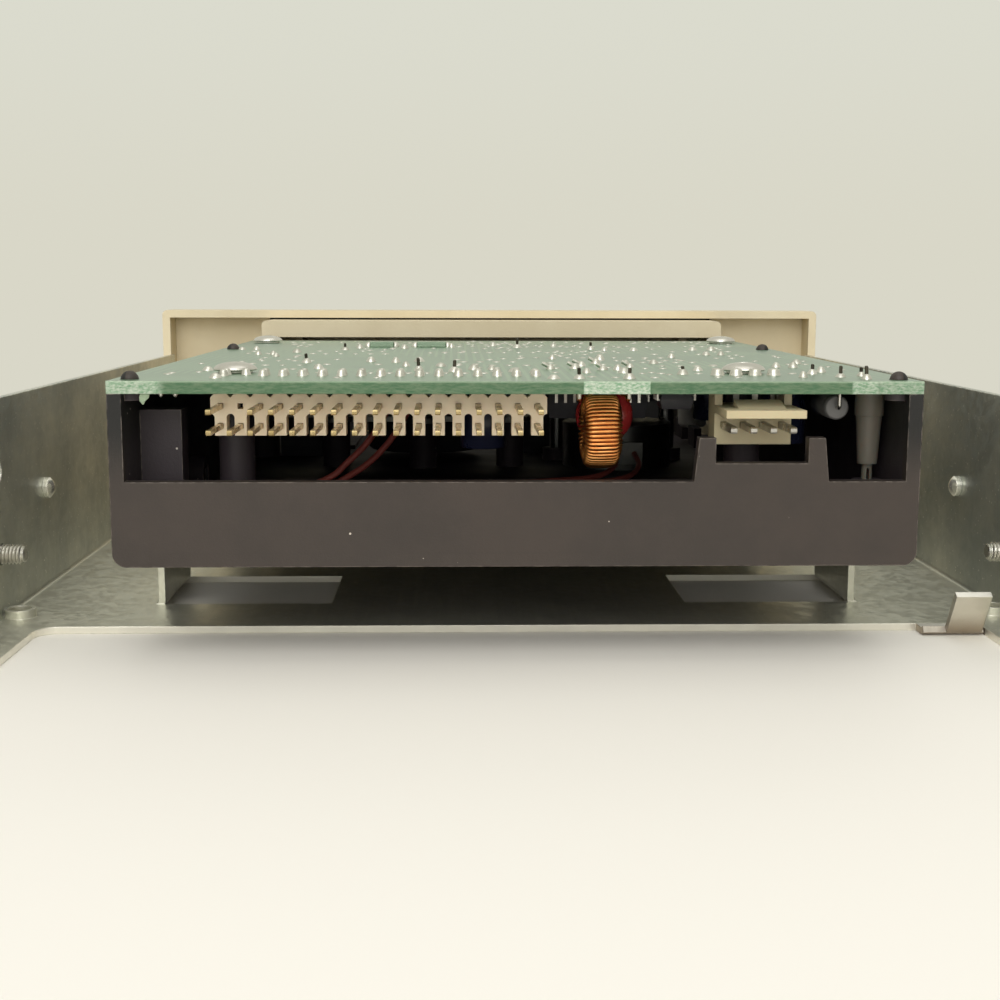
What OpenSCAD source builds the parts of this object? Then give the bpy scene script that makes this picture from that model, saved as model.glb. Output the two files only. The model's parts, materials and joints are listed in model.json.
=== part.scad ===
// Tape backup drive, carried in a sheet steel frame for a half-height drive bay.
// X runs across the drive, Y from its rear connectors to its front bezel, Z up.
// The frame stands on Z = 0 and the origin is under the middle of the whole object.
// Inside the modules Y = 0 is the rear face of the drive's chassis; on_origin() moves it.

/* [Mounting frame] */
// Distance from each side of the drive to the outside of the frame's wall
side_room = 22.2; // [21:0.1:23]
// Height of the side walls above the table
frame_h = 32; // [28:0.5:36]
// Thickness of the sheet steel
sheet_t = 1; // [0.8:0.1:1.2]
// Inside radius of the bends in the sheet
bend_r = 0.6; // [0.4:0.1:1]
// How far the side strips reach behind the drive
strip_reach = 6; // [3:0.5:12]
// Width of the side strips beside the rear notch
strip_w = 7.5; // [7:0.5:9.5]
// Distance from the drive's rear face forward to the base plate's rear edge
notch_y = 17; // [14:0.5:20]
// Length of each lanced tab along the drive
tab_l = 20; // [14:1:22]
// Height of the lanced tabs above the table
tab_h = 25.5; // [22:0.5:28]
// Distance from the drive's rear face forward to the rear tabs
tab_rear_y = 31; // [26:0.5:36]
// Spacing of the rear and front tabs
tab_pitch = 70; // [60:1:76]
// Radius of the bay mounting holes
bay_hole_r = 1.6; // [1.5:0.05:1.8]
// Spacing of the bay mounting holes along the frame
bay_hole_pitch = 79.2; // [76:0.1:80]
// Distance of the front bay mounting holes behind the bay bezel
bay_hole_front = 47.4; // [45:0.1:50]
// Height of the lower row of side holes
bay_hole_low = 10; // [8:0.1:11]
// Height of the upper row of side holes
bay_hole_high = 21.8; // [20:0.1:24]
// Distance of the tapped base holes from the outside of the walls
base_hole_inset = 3.15; // [3:0.05:4]

/* [Chassis] */
// Distance from each side of the cartridge to the outside of the chassis
cart_side = 10.3; // [10:0.1:11.5]
// Gap between the base plate and the underside of the drive
drive_lift = 11.7; // [9:0.1:13]
// Height of the moulded chassis up to the circuit board
chassis_h = 21.8; // [21.4:0.1:23.5]
// Length of the chassis from its rear face to the drive bezel
chassis_l = 140; // [139:0.5:141]
// Thickness of the chassis side walls
chassis_wall = 1.8; // [1.5:0.1:2.1]
// Thickness of the chassis floor
chassis_floor = 2; // [1.6:0.1:2.4]
// Thickness of the rear wall
rear_wall_t = 2; // [1.6:0.1:2.4]
// Radius of the lower edges along the chassis
chassis_edge_r = 1.8; // [1:0.1:2.4]
// Height of the rear wall above the chassis underside
sill_h = 10.8; // [9:0.1:12]
// Height of the guard posts beside the power connector above the chassis underside
guard_h = 16.3; // [15:0.1:17]
// Height of the notch between the guard posts above the chassis underside
guard_notch_h = 13.1; // [12.2:0.1:13.6]
// Gap between the power connector and each guard post
guard_side = 0.85; // [0.6:0.05:1.5]
// Width of a guard post at its top
guard_post_w = 2.1; // [1.6:0.1:2.6]
// Height of the drive's side screws above the chassis underside
drive_screw_h = 6.35; // [6:0.05:7]

/* [Circuit board] */
// Thickness of the circuit board
board_t = 1.6; // [1.2:0.1:2]
// Distance from the circuit board's front edge to the chassis' front edge
board_setback = 14; // [12:0.5:16]
// Radius of the chassis pegs that locate the board
peg_r = 1.15; // [0.9:0.05:1.3]
// Distance of the rear pegs from the drive's rear face
peg_rear_y = 3.5; // [3:0.1:5]
// Distance of the front pegs from the drive's rear face
peg_front_y = 86; // [80:0.5:92]
// Distance of the rear board screws in front of the header's second row of legs
board_screw_gap = 4.26; // [4:0.02:5]
// Distance of the front board screws behind the board's front edge
board_screw_inset = 12; // [9:0.5:14]
// Radius of the board screw heads
board_screw_head_r = 2.9; // [2.5:0.1:3.2]

/* [Connectors] */
// Spacing of the data header pins
header_pitch = 2.54; // [2.5:0.01:2.56]
// Width of the square header pins
header_pin = 0.64; // [0.5:0.02:0.7]
// Distance of the header's insulator in front of the drive's rear face
header_y = 6.5; // [5.5:0.1:7]
// How far the header pins stand out behind the drive
pin_reach = 2.8; // [2:0.1:6]
// How far the power connector's tongue stands out behind the drive
tongue_reach = 1.8; // [1:0.1:4]
// How far the power pins stand out behind the drive
power_reach = 0.5; // [0:0.1:3]
// Sideways place of the first column of header pins
header_x = -37.9; // [-38.5:0.1:-37]
// Spacing of the power connector pins
power_pitch = 2.5; // [2.4:0.01:2.54]
// Distance from the inductor's middle to the power connector's middle
power_gap = 19.5; // [18.8:0.1:20]

/* [Inductor] */
// Distance from the data header's end to the inductor's middle
coil_side = 7.2; // [6:0.1:8]
// Diameter of the winding wire
coil_wire = 0.5; // [0.4:0.05:0.55]
// Outside radius of the winding's centreline
coil_out_r = 4.8; // [4.7:0.1:5]
// Number of turns
coil_turns = 22; // [16:2:22]

/* [Bezels and door] */
// Distance from the chassis' front edge to the back of the bay bezel
bezel_step = 10; // [8:0.5:14]
// How far the bay bezel stands out beyond each wall of the frame
bezel_overhang = 1.5; // [1.4:0.1:2]
// Distance from the drive bezel's top to the bay bezel's top
bezel_margin = 2.1; // [1.8:0.1:3]
// Depth of the bay bezel
bay_bezel_d = 9; // [7:0.1:10]
// Thickness of the bay bezel's rim
bay_rim_t = 1.7; // [1.4:0.1:2.2]
// Thickness of the bay bezel's front panel
bay_panel_t = 2.5; // [2:0.1:3]
// Room above the door's hinge inside the drive bezel
door_headroom = 1.6; // [1:0.1:2.4]
// Thickness of the drive bezel's front panel
drive_panel_t = 3; // [2.6:0.1:3.2]
// Thickness of the drive bezel's top wall
drive_top_t = 3.6; // [3:0.1:3.8]
// Thickness of the door
door_t = 2; // [1.6:0.1:2.1]
// Radius of the door's hinge pin
door_pin_r = 0.8; // [0.6:0.05:0.9]

/* [Cartridge and mechanism] */
// Width of the cartridge that the drive takes
cart_w = 81; // [80:0.1:81.4]
// Thickness of the cartridge
cart_t = 15; // [14:0.1:15.1]
// How far the inserted cartridge reaches into the chassis
cart_depth = 28; // [26:0.5:30]
// Radius of the capstan tyre
capstan_r = 11; // [10.6:0.1:11.2]
// Radius of the stepper motor
stepper_r = 10; // [9:0.1:10.2]
// Travel of the tape head to each side of its middle
head_travel = 3; // [2:0.1:3.1]
// Radius of the head's guide rods
guide_r = 1.5; // [1.2:0.05:1.6]

/* [Hidden] */
$fn = 48;

// Clearances: run is a turning or sliding fit, fit a loose one, eps an overrun of cuts
run = 0.05;
fit = 0.15;
eps = 0.5;

// Main planes
drive_w = cart_w + 2 * cart_side;
frame_w = drive_w + 2 * side_room;
bezel_back = chassis_l + bezel_step;
bezel_front = bezel_back + bay_bezel_d;
y_mid = (bezel_front - strip_reach) / 2;
chassis_z = sheet_t + drive_lift;
floor_z = chassis_z + chassis_floor;
board_z = chassis_z + chassis_h;
board_top = board_z + board_t;
board_l = chassis_l - board_setback;
cart_y = chassis_l - cart_depth;
inner_x = drive_w / 2 - chassis_wall;
bend_out = bend_r + sheet_t;

// Frame details
tab_x = drive_w / 2 + 0.05;
tab_ys = [tab_rear_y, tab_rear_y + tab_pitch];
tab_corner_r = 3;
notch_corner_r = 3;
bay_hole_ys = [bezel_back - bay_hole_front - bay_hole_pitch, bezel_back - bay_hole_front];
base_hole_x = frame_w / 2 - base_hole_inset;
collar_h = 1.2;
collar_t = 0.6;
dimple_r = 1.6;
dimple_h = 1.5;
dimple_y = 45.5;
dimple_z = 16.4;
finger_w = 4.9;
finger_base_w = 8.4;
finger_side = 2.8;
finger_l = 6;
finger_lean = 60;
bezel_screw_y = bezel_back - 6;
bezel_screw_z = 20;

// Machine screws: radius, clearance hole and head
screw_r = 1.45;
screw_hole_r = 1.65;
screw_head_r = 2.7;
screw_head_h = 1.4;
bay_screw_in = 3.2;
drive_screw_in = 4.5;

// Board fasteners
peg_x = drive_w / 2 - 2.2;
peg_top = 1.05;
peg_boss_r = 1.7;
peg_boss_h = 1;
board_screw_r = 1.2;
board_screw_front_x = inner_x - 3;
board_boss_r = 2.4;
front_boss_h = 6.5;
pilot_depth = 6;

// Header
header_columns = 17;
header_t = 2.5;
header_rows_drop = [2.05, 2.05 + header_pitch];
header_h = 5.85;
missing_column = 1;
slot_w = 1;
slot_h = 2.8;
notch_side = 1.34;
pin_tail = 0.8;
pin_hole_r = header_pin * 0.71 + 0.1;
leg_gap = 0.7;
leg_ys = [header_y + header_t + leg_gap, header_y + header_t + leg_gap + header_pitch];
header_end = header_x + (header_columns - 0.5) * header_pitch;
coil_x = header_end + coil_side;
power_x = coil_x + power_gap;
board_screw_y = leg_ys[1] + board_screw_gap;
board_screw_xs = [header_x + 0.46, power_x + 0.6];
board_screw_front_y = board_l - board_screw_inset;

// Power connector
power_pins = 4;
power_w = power_pins * power_pitch;
guard_gap = power_w + 2 * guard_side;
power_pin = 0.8;
power_drop = 4.5;
power_y = header_y;
power_depth = 4.5;
power_h = 7;
power_face_h = 3.5;
tongue_t = 1;
tongue_z = board_z - 2.9;
power_leg_y = power_y + power_depth + 1;
power_hole_r = power_pin * 0.71 + 0.13;

// Inductor: the winding goes round the core in two staggered layers
coil_y = 9.4;
coil_z = board_z - coil_out_r - coil_wire / 2 - 0.35;
coil_half = 2.1;
coil_corner = 0.7;
coil_radial = 2.1;
coil_in_r = coil_out_r - coil_radial;
coil_layer = 0.78;
coil_sweep = 330;
coil_gap = coil_wire / 2 + 0.08;

// Cartridge bay
skid_h = 0.8;
cart_z = floor_z + skid_h;
cart_top = cart_z + cart_t;
cart_gap = 0.5;
guide_x = cart_w / 2 + cart_gap;
guide_h = 4;
roller_y = cart_y + 14;
roller_gap = 4.5;

// Capstan
capstan_x = -14;
capstan_y = cart_y - capstan_r - 0.5;
capstan_z = floor_z + 1.8;
capstan_w = 6;
capstan_shaft_r = 1;
tyre_t = 2.5;
bracket_z = capstan_z + capstan_w + 0.5;
bracket_t = 1;
bracket_post_r = 2.5;
bracket_posts = [[-30, -14.5], [2, -14.5], [-14, -17]];
motor_r = capstan_r - 0.6;
motor_top = board_z - 1;

// Tape head lift
lift_x = 22;
lift_y = cart_y - 24;
stepper_h = 8;
rotor_wall = 3.2;
rotor_end = 1.4;
screw_shaft_r = 1.5;
carriage_z = floor_z + stepper_h + head_travel + 0.3;
carriage_h = board_z - head_travel - 1.5 - carriage_z;
rod_spread = stepper_r + 0.5;
rod_y = lift_y + 8;
bridge_t = 1;
bridge_z = board_z - 0.2 - bridge_t;
head_w = 7;
head_z = cart_z + cart_t / 2;
head_h = 7;

// Cartridge latches
latch_x = guide_x + 4.4;
latch_y = cart_y - 11;
stop_x = latch_x - 14.4;
stop_w = 2.4;
latch_z = chassis_z + drive_screw_h + 4.2;
latch_t = 2;
latch_pin_r = 1.5;
latch_hub_r = 3;
roller_r = 3;
roller_x = cart_w / 2 - 1 + roller_r;
roller_h = 5;
roller_pin_r = 1;
spring_wire = 0.5;
latch_spring_r = 2.3;

// Cartridge switches
switch_lo = [-latch_x + latch_hub_r + 0.3, cart_y - 11.5];
switch_size = [8.4, 7.5];
switch_h = 7.5;
plunger_w = 2.4;
plunger_xs = [switch_lo.x + 1.9, switch_lo.x + switch_size.x - 1.9];
plunger_reach = 1.8;

// Drive bezel and door
drive_bezel_z = chassis_z - 0.7;
drive_side_t = 2;
drive_floor_t = 1.9;
bezel_inner_z = drive_bezel_z + drive_floor_t;
slot_x = cart_w / 2 + 0.9;
slot_z = [cart_z - 0.5, cart_top + 1.1];
door_x = slot_x + 0.8;
cheek_x = door_x + 0.5;
cheek_t = 1.6;
barrel_r = 1.5;
door_y = bezel_front - drive_panel_t - 0.3 - barrel_r;
door_z = slot_z[1] + 1.6;
door_bottom = bezel_inner_z + 0.35;
drive_bezel_top = door_z + barrel_r + door_headroom + drive_top_t;
drive_bezel_h = drive_bezel_top - drive_bezel_z;
bay_bezel_w = frame_w + 2 * bezel_overhang;
bay_bezel_h = drive_bezel_top + bezel_margin;
spring_notch = [4.2 - door_x, 11.2 - door_x];
door_spring_r = 1.35;
door_spring_wire = 0.4;
tongue = [1.5, 10, 9];
bay_window_gap = 0.3;
arm_t = 2.4;
arm_l = 12;
arm_h = 16;
arm_z = 12;
led_r = 1.5;
led_x = (cheek_x + cheek_t + drive_w / 2 - drive_side_t) / 2;
led_z = board_z - 1.6;
led_lead = 0.5;
led_lead_y = board_l - 3.5;

// Routes of the two stepper wires from the motor's lead block up to the board
wire_d = 1;
lead_block = [7, 3, 4];
wire_start = lift_y - stepper_r - 2;
wire_exit = wire_start - 0.05;
wire_rest = floor_z + wire_d / 2 + 0.15;
wire_routes = [
    [[20, wire_exit, floor_z + 3.3], [20, wire_exit - 5, floor_z + 1.9], [16, wire_exit - 11, wire_rest],
     [6, 59, wire_rest], [-8, 53.5, wire_rest], [-22, 49.5, wire_rest], [-31, 46, wire_rest],
     [-35.4, 41, wire_rest + 0.2], [-32.5, 36.8, floor_z + 2.2], [-27, 38, floor_z + 4.2],
     [-24.6, 38.5, floor_z + 6.2], [-21, 39.5, floor_z + 9.8], [-18, 41, floor_z + 14.8],
     [-17, 42.2, floor_z + 18], [-17, 42.2, board_z]],
    [[24, wire_exit, floor_z + 3.3], [24, wire_exit - 6, floor_z + 1.7], [20.5, wire_exit - 13, wire_rest],
     [10, 54.5, wire_rest], [-4, 50.5, wire_rest], [-22, 46.2, wire_rest], [-28, 44.6, wire_rest],
     [-30.6, 42.6, floor_z + 1.1], [-28.2, 40.4, floor_z + 2.2], [-24, 41, floor_z + 4.2],
     [-20.8, 42, floor_z + 6.4], [-17.6, 43, floor_z + 9.9], [-15, 44, floor_z + 14.3],
     [-13.5, 45, floor_z + 18], [-13.5, 45, board_z]]
];
wire_step = 3;

// Placing and extruding helpers
module on_origin() {
    translate([0, -y_mid, 0]) children();
}

module both_sides() {
    children();
    mirror([1, 0, 0]) children();
}

module block(lo, hi) {
    translate(lo) cube(hi - lo);
}

// Extrudes an outline drawn in X and Z from y0 to y1
module along_y(y0, y1) {
    translate([0, y1, 0]) rotate([90, 0, 0]) linear_extrude(y1 - y0) children();
}

// Extrudes an outline drawn in Y and Z from x0 to x1
module along_x(x0, x1) {
    translate([x0, 0, 0]) rotate([90, 0, 90]) linear_extrude(x1 - x0) children();
}

module rod_x(r, x0, x1, y, z) {
    translate([x0, y, z]) rotate([0, 90, 0]) cylinder(r = r, h = x1 - x0);
}

module rod_y(r, y0, y1, x, z) {
    translate([x, y1, z]) rotate([90, 0, 0]) cylinder(r = r, h = y1 - y0);
}

module rod_z(r, z0, z1, x, y) {
    translate([x, y, z0]) cylinder(r = r, h = z1 - z0);
}

// A dome of base radius r and height h, standing on Z = 0
module dome(r, h) {
    ball = (r * r + h * h) / (2 * h);
    intersection() {
        translate([0, 0, h - ball]) sphere(ball);
        cylinder(r = r + 1, h = h);
    }
}

module rounded_rect(w, h, r) {
    square([w - 2 * r, h], center = true);
    square([w, h - 2 * r], center = true);
    for (x = [-1, 1], y = [-1, 1])
        translate([x * (w / 2 - r), y * (h / 2 - r)]) circle(r);
}

// Upright section with its two lower corners rounded, standing on Y = 0
module tray_section(w, h, r) {
    translate([-w / 2 + r, 0]) square([w - 2 * r, h]);
    translate([-w / 2, r]) square([w, h - r]);
    for (s = [-1, 1]) translate([s * (w / 2 - r), r]) circle(r);
}

// Pan head screw along +Z: the head's seat is at Z = 0 and the shank goes down
module pan_screw(r, shank, head_r, head_h) {
    rim = head_h * 0.45;
    translate([0, 0, -shank]) cylinder(r = r, h = shank + 0.1);
    cylinder(r = head_r, h = rim);
    translate([0, 0, rim]) dome(head_r, head_h - rim);
}

// Swept tube functions: frames are carried along the path without twist
function unit(v) = v / norm(v);
function tangent(p, i) = unit(p[min(i + 1, len(p) - 1)] - p[max(i - 1, 0)]);
function carry(n, t) = unit(n - (n * t) * t);
function first_normal(t) = carry(abs(t.x) < 0.8 ? [1, 0, 0] : [0, 0, 1], t);
function normals(p) = [
    for (i = 0, n = first_normal(tangent(p, 0)); i < len(p);
         i = i + 1, n = i < len(p) ? carry(n, tangent(p, i)) : n) n
];

module tube(p, r, sides) {
    ns = normals(p);
    last = (len(p) - 1) * sides;
    points = [
        for (i = [0 : len(p) - 1]) let (t = tangent(p, i), b = cross(t, ns[i]))
            for (k = [0 : sides - 1])
                p[i] + r * (cos(360 * k / sides) * ns[i] + sin(360 * k / sides) * b)
    ];
    skin = [
        for (i = [0 : len(p) - 2], k = [0 : sides - 1])
            let (a = i * sides + k, b = i * sides + (k + 1) % sides)
                each [[a, a + sides, b + sides], [a, b + sides, b]]
    ];
    caps = [
        for (k = [1 : sides - 2]) each [[0, k, k + 1], [last, last + k + 1, last + k]]
    ];
    polyhedron(points, concat(skin, caps));
}

// Points of a smooth curve through p, about step apart
function spline_point(p, i, t) =
    let (a = p[max(i - 1, 0)], b = p[i], c = p[i + 1], d = p[min(i + 2, len(p) - 1)])
        b + 0.5 * t * (c - a + t * (2 * a - 5 * b + 4 * c - d + t * (3 * (b - c) + d - a)));
function smooth(p, step) = [
    for (i = [0 : len(p) - 2])
        let (n = max(1, round(norm(p[i + 1] - p[i]) / step)))
            for (k = [0 : n - 1]) spline_point(p, i, k / n),
    p[len(p) - 1]
];

// Least gap between stretches of one tube, measured between points that are far along it
function least_gap(p, d, apart) = min([
    for (i = [0 : len(p) - 2]) for (j = [i + apart : 1 : len(p) - 1]) norm(p[i] - p[j])
]) - d;
function with_middles(p) = [
    for (i = [0 : len(p) - 2]) each [p[i], (p[i] + p[i + 1]) / 2],
    p[len(p) - 1]
];

// Helical spring along +Z with a straight axial start and a straight radial leg at its end
function spring_points(r, turns, pitch, stub, leg) = concat(
    [[r, 0, -stub]],
    [for (k = [0 : 8 * turns]) [r * cos(45 * k), r * sin(45 * k), pitch * k / 8]],
    [[r, leg / 2, pitch * turns], [r, leg, pitch * turns]]
);

// Sheet steel frame: one folded channel with a rear notch and four tabs lanced up from its base
module mounting_frame() {
    color("silver") on_origin() difference() {
        union() {
            difference() {
                frame_channel();
                rear_notch();
                both_sides() for (y = tab_ys) tab_window(y);
            }
            both_sides() for (y = tab_ys) lanced_tab(y);
            both_sides() for (y = bay_hole_ys)
                rod_z(bay_hole_r + collar_t, sheet_t / 2, sheet_t + collar_h, base_hole_x, y);
            both_sides() wall_dimple();
            rear_finger();
        }
        both_sides() wall_holes();
    }
}

module frame_channel() {
    along_y(-strip_reach, bezel_back) difference() {
        tray_section(frame_w, frame_h, bend_out);
        translate([0, sheet_t]) tray_section(frame_w - 2 * sheet_t, frame_h, bend_r);
    }
}

module rear_notch() {
    notch_w = frame_w - 2 * strip_w;
    notch_l = 2 * (notch_y + strip_reach);
    translate([0, -strip_reach, -eps]) linear_extrude(sheet_t + 2 * eps)
        rounded_rect(notch_w, notch_l, notch_corner_r);
}

module tab_window(y) {
    block([tab_x - tab_h + sheet_t, y, -eps], [tab_x + bend_out, y + tab_l, sheet_t + eps]);
}

module lanced_tab(y) {
    intersection() {
        along_y(y, y + tab_l) {
            translate([tab_x, bend_out]) square([sheet_t, tab_h - bend_out]);
            intersection() {
                translate([tab_x + bend_out, bend_out]) difference() {
                    circle(bend_out);
                    circle(bend_r);
                }
                translate([tab_x, 0]) square(bend_out);
            }
        }
        along_x(tab_x - eps, tab_x + bend_out) translate([y + tab_l / 2, 0])
            rounded_rect(tab_l, 2 * tab_h, tab_corner_r);
    }
}

module wall_dimple() {
    translate([frame_w / 2 - sheet_t / 2, dimple_y, dimple_z]) rotate([0, -90, 0]) {
        cylinder(r = dimple_r, h = sheet_t / 2 + dimple_h / 2);
        translate([0, 0, sheet_t / 2 + dimple_h / 2]) dome(dimple_r, dimple_h / 2);
    }
}

module wall_holes() {
    for (y = bay_hole_ys) {
        for (z = [bay_hole_low, bay_hole_high])
            rod_x(bay_hole_r, frame_w / 2 - sheet_t - eps, frame_w / 2 + eps, y, z);
        rod_z(bay_hole_r, -eps, sheet_t + collar_h + eps, base_hole_x, y);
    }
    for (y = tab_ys)
        rod_x(screw_hole_r, tab_x - eps, tab_x + sheet_t + eps, y + tab_l / 2, chassis_z + drive_screw_h);
    rod_x(screw_hole_r, frame_w / 2 - sheet_t - eps, frame_w / 2 + eps, bezel_screw_y, bezel_screw_z);
    rod_x(dimple_r * 0.7, frame_w / 2 - sheet_t / 2, frame_w / 2 + eps, dimple_y, dimple_z);
}

// A tongue on the base plate's rear edge, bent up and back at a lean
module rear_finger() {
    right = frame_w / 2 - strip_w - 0.3;
    mid = right - finger_side;
    turn_r = 1.2;
    translate([0, notch_y - 1, 0]) {
        block([right - finger_base_w, -1, 0], [right, 2, sheet_t]);
        translate([0, -1, turn_r + sheet_t]) {
            finger_bend(right - finger_base_w, right, turn_r, 40);
            finger_bend(mid - finger_w / 2, mid + finger_w / 2, turn_r, finger_lean);
            rotate([-finger_lean, 0, 0])
                block([mid - finger_w / 2, -finger_l, -turn_r - sheet_t], [mid + finger_w / 2, 0, -turn_r]);
        }
    }
}

module finger_bend(x0, x1, r, angle) {
    translate([x0, 0, 0]) rotate([0, 90, 0]) rotate([0, 0, -angle])
        rotate_extrude(angle = angle) translate([r, 0]) square([sheet_t, x1 - x0]);
}

// Screws left in the lower rear bay holes, heads outside and thread ends inside
module bay_side_screws() {
    color("lightgray") on_origin() both_sides()
        translate([frame_w / 2, bay_hole_ys[0], bay_hole_low]) rotate([0, 90, 0])
            pan_screw(screw_r, sheet_t + bay_screw_in, screw_head_r, screw_head_h);
}

module drive_screws() {
    color("lightgray") on_origin() both_sides() for (y = tab_ys)
        translate([tab_x + sheet_t, y + tab_l / 2, chassis_z + drive_screw_h]) rotate([0, 90, 0])
            pan_screw(screw_r, sheet_t + drive_screw_in, screw_head_r, screw_head_h);
}

module bezel_screws() {
    color("lightgray") on_origin() both_sides()
        translate([frame_w / 2, bezel_screw_y, bezel_screw_z]) rotate([0, 90, 0])
            pan_screw(screw_r, sheet_t + arm_t, screw_head_r, screw_head_h);
}

// Moulded chassis: an open tray with a low rear wall, bosses, pegs and cartridge guides
module chassis() {
    color([0.16, 0.15, 0.14]) on_origin() difference() {
        union() {
            chassis_shell();
            power_guard();
            board_supports();
            both_sides() for (y = tab_ys)
                rod_x(screw_hole_r + 1.5, inner_x - 3, inner_x + 0.2,
                      y + tab_l / 2, chassis_z + drive_screw_h);
            mechanism_posts();
            cartridge_guides();
            both_sides() latch_pivot();
            block([-inner_x - 0.2, 10, floor_z - 0.2], [-inner_x + 5.4, 14, floor_z + 17]);
        }
        both_sides() for (y = tab_ys)
            rod_x(screw_hole_r, inner_x - 3 - eps, drive_w / 2 + eps,
                  y + tab_l / 2, chassis_z + drive_screw_h);
        board_pilots();
        both_sides() snap_window();
        rod_z(capstan_shaft_r + run, floor_z - 1, capstan_z, capstan_x, capstan_y);
        rod_z(post_tip_r + run, post_seat - 3, post_seat + eps, post_x, post_y);
    }
}

module chassis_shell() {
    difference() {
        along_y(0, chassis_l) translate([0, chassis_z]) tray_section(drive_w, chassis_h, chassis_edge_r);
        block([-inner_x, rear_wall_t, floor_z], [inner_x, chassis_l + eps, board_z + eps]);
        block([-inner_x, -eps, chassis_z + sill_h], [inner_x, rear_wall_t + eps, board_z + eps]);
    }
}

// Raised part of the rear wall with a post each side of the power connector
module power_guard() {
    half = guard_gap / 2;
    slope = 0.6;
    foot = sill_h - 0.3;
    along_y(0, rear_wall_t) translate([power_x, chassis_z]) polygon([
        [-half - guard_post_w - slope, foot], [-half - guard_post_w, guard_h], [-half, guard_h],
        [-half, guard_notch_h], [half, guard_notch_h], [half, guard_h],
        [half + guard_post_w, guard_h], [half + guard_post_w + slope, foot]
    ]);
}

module board_supports() {
    both_sides() for (y = [peg_rear_y, peg_front_y]) {
        rod_z(peg_boss_r, board_z - peg_boss_h, board_z, peg_x, y);
        rod_z(peg_r, board_z - 0.2, board_top + peg_top - peg_r, peg_x, y);
        translate([peg_x, y, board_top + peg_top - peg_r]) dome(peg_r, peg_r);
    }
    for (x = board_screw_xs) rod_z(board_boss_r, floor_z - 0.2, board_z, x, board_screw_y);
    both_sides() {
        rod_z(board_boss_r, board_z - front_boss_h, board_z, board_screw_front_x, board_screw_front_y);
        block([board_screw_front_x, board_screw_front_y - board_boss_r, board_z - front_boss_h],
              [inner_x + 0.2, board_screw_front_y + board_boss_r, board_z]);
    }
    rod_z(post_boss_r, floor_z - 0.2, post_seat, post_x, post_y);
}

module board_pilots() {
    for (x = board_screw_xs)
        rod_z(board_screw_r + fit, board_z - pilot_depth - 1, board_z + eps, x, board_screw_y);
    both_sides()
        rod_z(board_screw_r + fit, board_z - front_boss_h - eps, board_z + eps,
              board_screw_front_x, board_screw_front_y);
}

// Posts under the motor bracket, the capstan's foot bearing and the sockets of the guide rods
module mechanism_posts() {
    for (p = bracket_posts) difference() {
        rod_z(bracket_post_r, floor_z - 0.2, bracket_z, p.x, capstan_y + p.y);
        rod_z(screw_r - 0.2, bracket_z - 5, bracket_z + eps, p.x, capstan_y + p.y);
    }
    rod_z(capstan_shaft_r + 1.5, floor_z - 0.2, capstan_z - 0.4, capstan_x, capstan_y);
    for (s = [-1, 1]) difference() {
        rod_z(guide_r + 1.3, floor_z - 0.2, floor_z + 2.2, lift_x + s * rod_spread, rod_y);
        rod_z(guide_r, floor_z, floor_z + 3, lift_x + s * rod_spread, rod_y);
    }
}

module cartridge_guides() {
    both_sides() {
        block([guide_x, cart_y + 2, floor_z - 0.2],
              [guide_x + 1.5, roller_y - roller_gap, floor_z + guide_h]);
        block([guide_x, roller_y + roller_gap, floor_z - 0.2],
              [guide_x + 1.5, chassis_l, floor_z + guide_h]);
        block([cart_w / 2 - 12, cart_y, floor_z - 0.2], [cart_w / 2 - 9, chassis_l, cart_z]);
        block([stop_x - stop_w / 2, cart_y - 3.5, floor_z - 0.2],
              [stop_x + stop_w / 2, cart_y, floor_z + 6]);
    }
}

module latch_pivot() {
    rod_z(latch_hub_r, floor_z - 0.2, latch_z - 0.2, latch_x, latch_y);
    rod_z(latch_pin_r, latch_z - 0.4, latch_z + latch_t + 3.6, latch_x, latch_y);
}

module snap_window() {
    block([inner_x - eps, chassis_l - 8.2, floor_z + 4.8],
          [drive_w / 2 + eps, chassis_l - 4.8, floor_z + 9.2]);
}

// Circuit board, solder side up
module main_board() {
    color([0.2, 0.45, 0.28]) on_origin() difference() {
        block([-drive_w / 2, 0, board_z], [drive_w / 2, board_l, board_top]);
        both_sides() for (y = [peg_rear_y, peg_front_y]) board_hole(peg_r + 0.1, peg_x, y);
        for (x = board_screw_xs) board_hole(board_screw_r + fit, x, board_screw_y);
        both_sides() board_hole(board_screw_r + fit, board_screw_front_x, board_screw_front_y);
        for (c = [0 : header_columns - 1], row = [0, 1])
            if (has_pin(c, row)) board_hole(pin_hole_r, header_x + c * header_pitch, leg_ys[row]);
        for (c = [0 : power_pins - 1]) board_hole(power_hole_r, power_pin_x(c), power_leg_y);
    }
}

module board_hole(r, x, y) {
    rod_z(r, board_z - eps, board_top + eps, x, y);
}

function has_pin(c, row) = row == 1 || c != missing_column;
function power_pin_x(c) = power_x + (c - (power_pins - 1) / 2) * power_pitch;

module board_screws() {
    color("gainsboro") on_origin() {
        for (x = board_screw_xs) board_screw(x, board_screw_y);
        both_sides() board_screw(board_screw_front_x, board_screw_front_y);
    }
}

// Wide low head on its narrower collar
module board_screw(x, y) {
    collar = 0.35;
    translate([x, y, board_top]) {
        cylinder(r = board_screw_head_r - 0.6, h = collar);
        translate([0, 0, collar]) pan_screw(board_screw_r, board_t + 4 + collar, board_screw_head_r, 1.15);
    }
}

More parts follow.
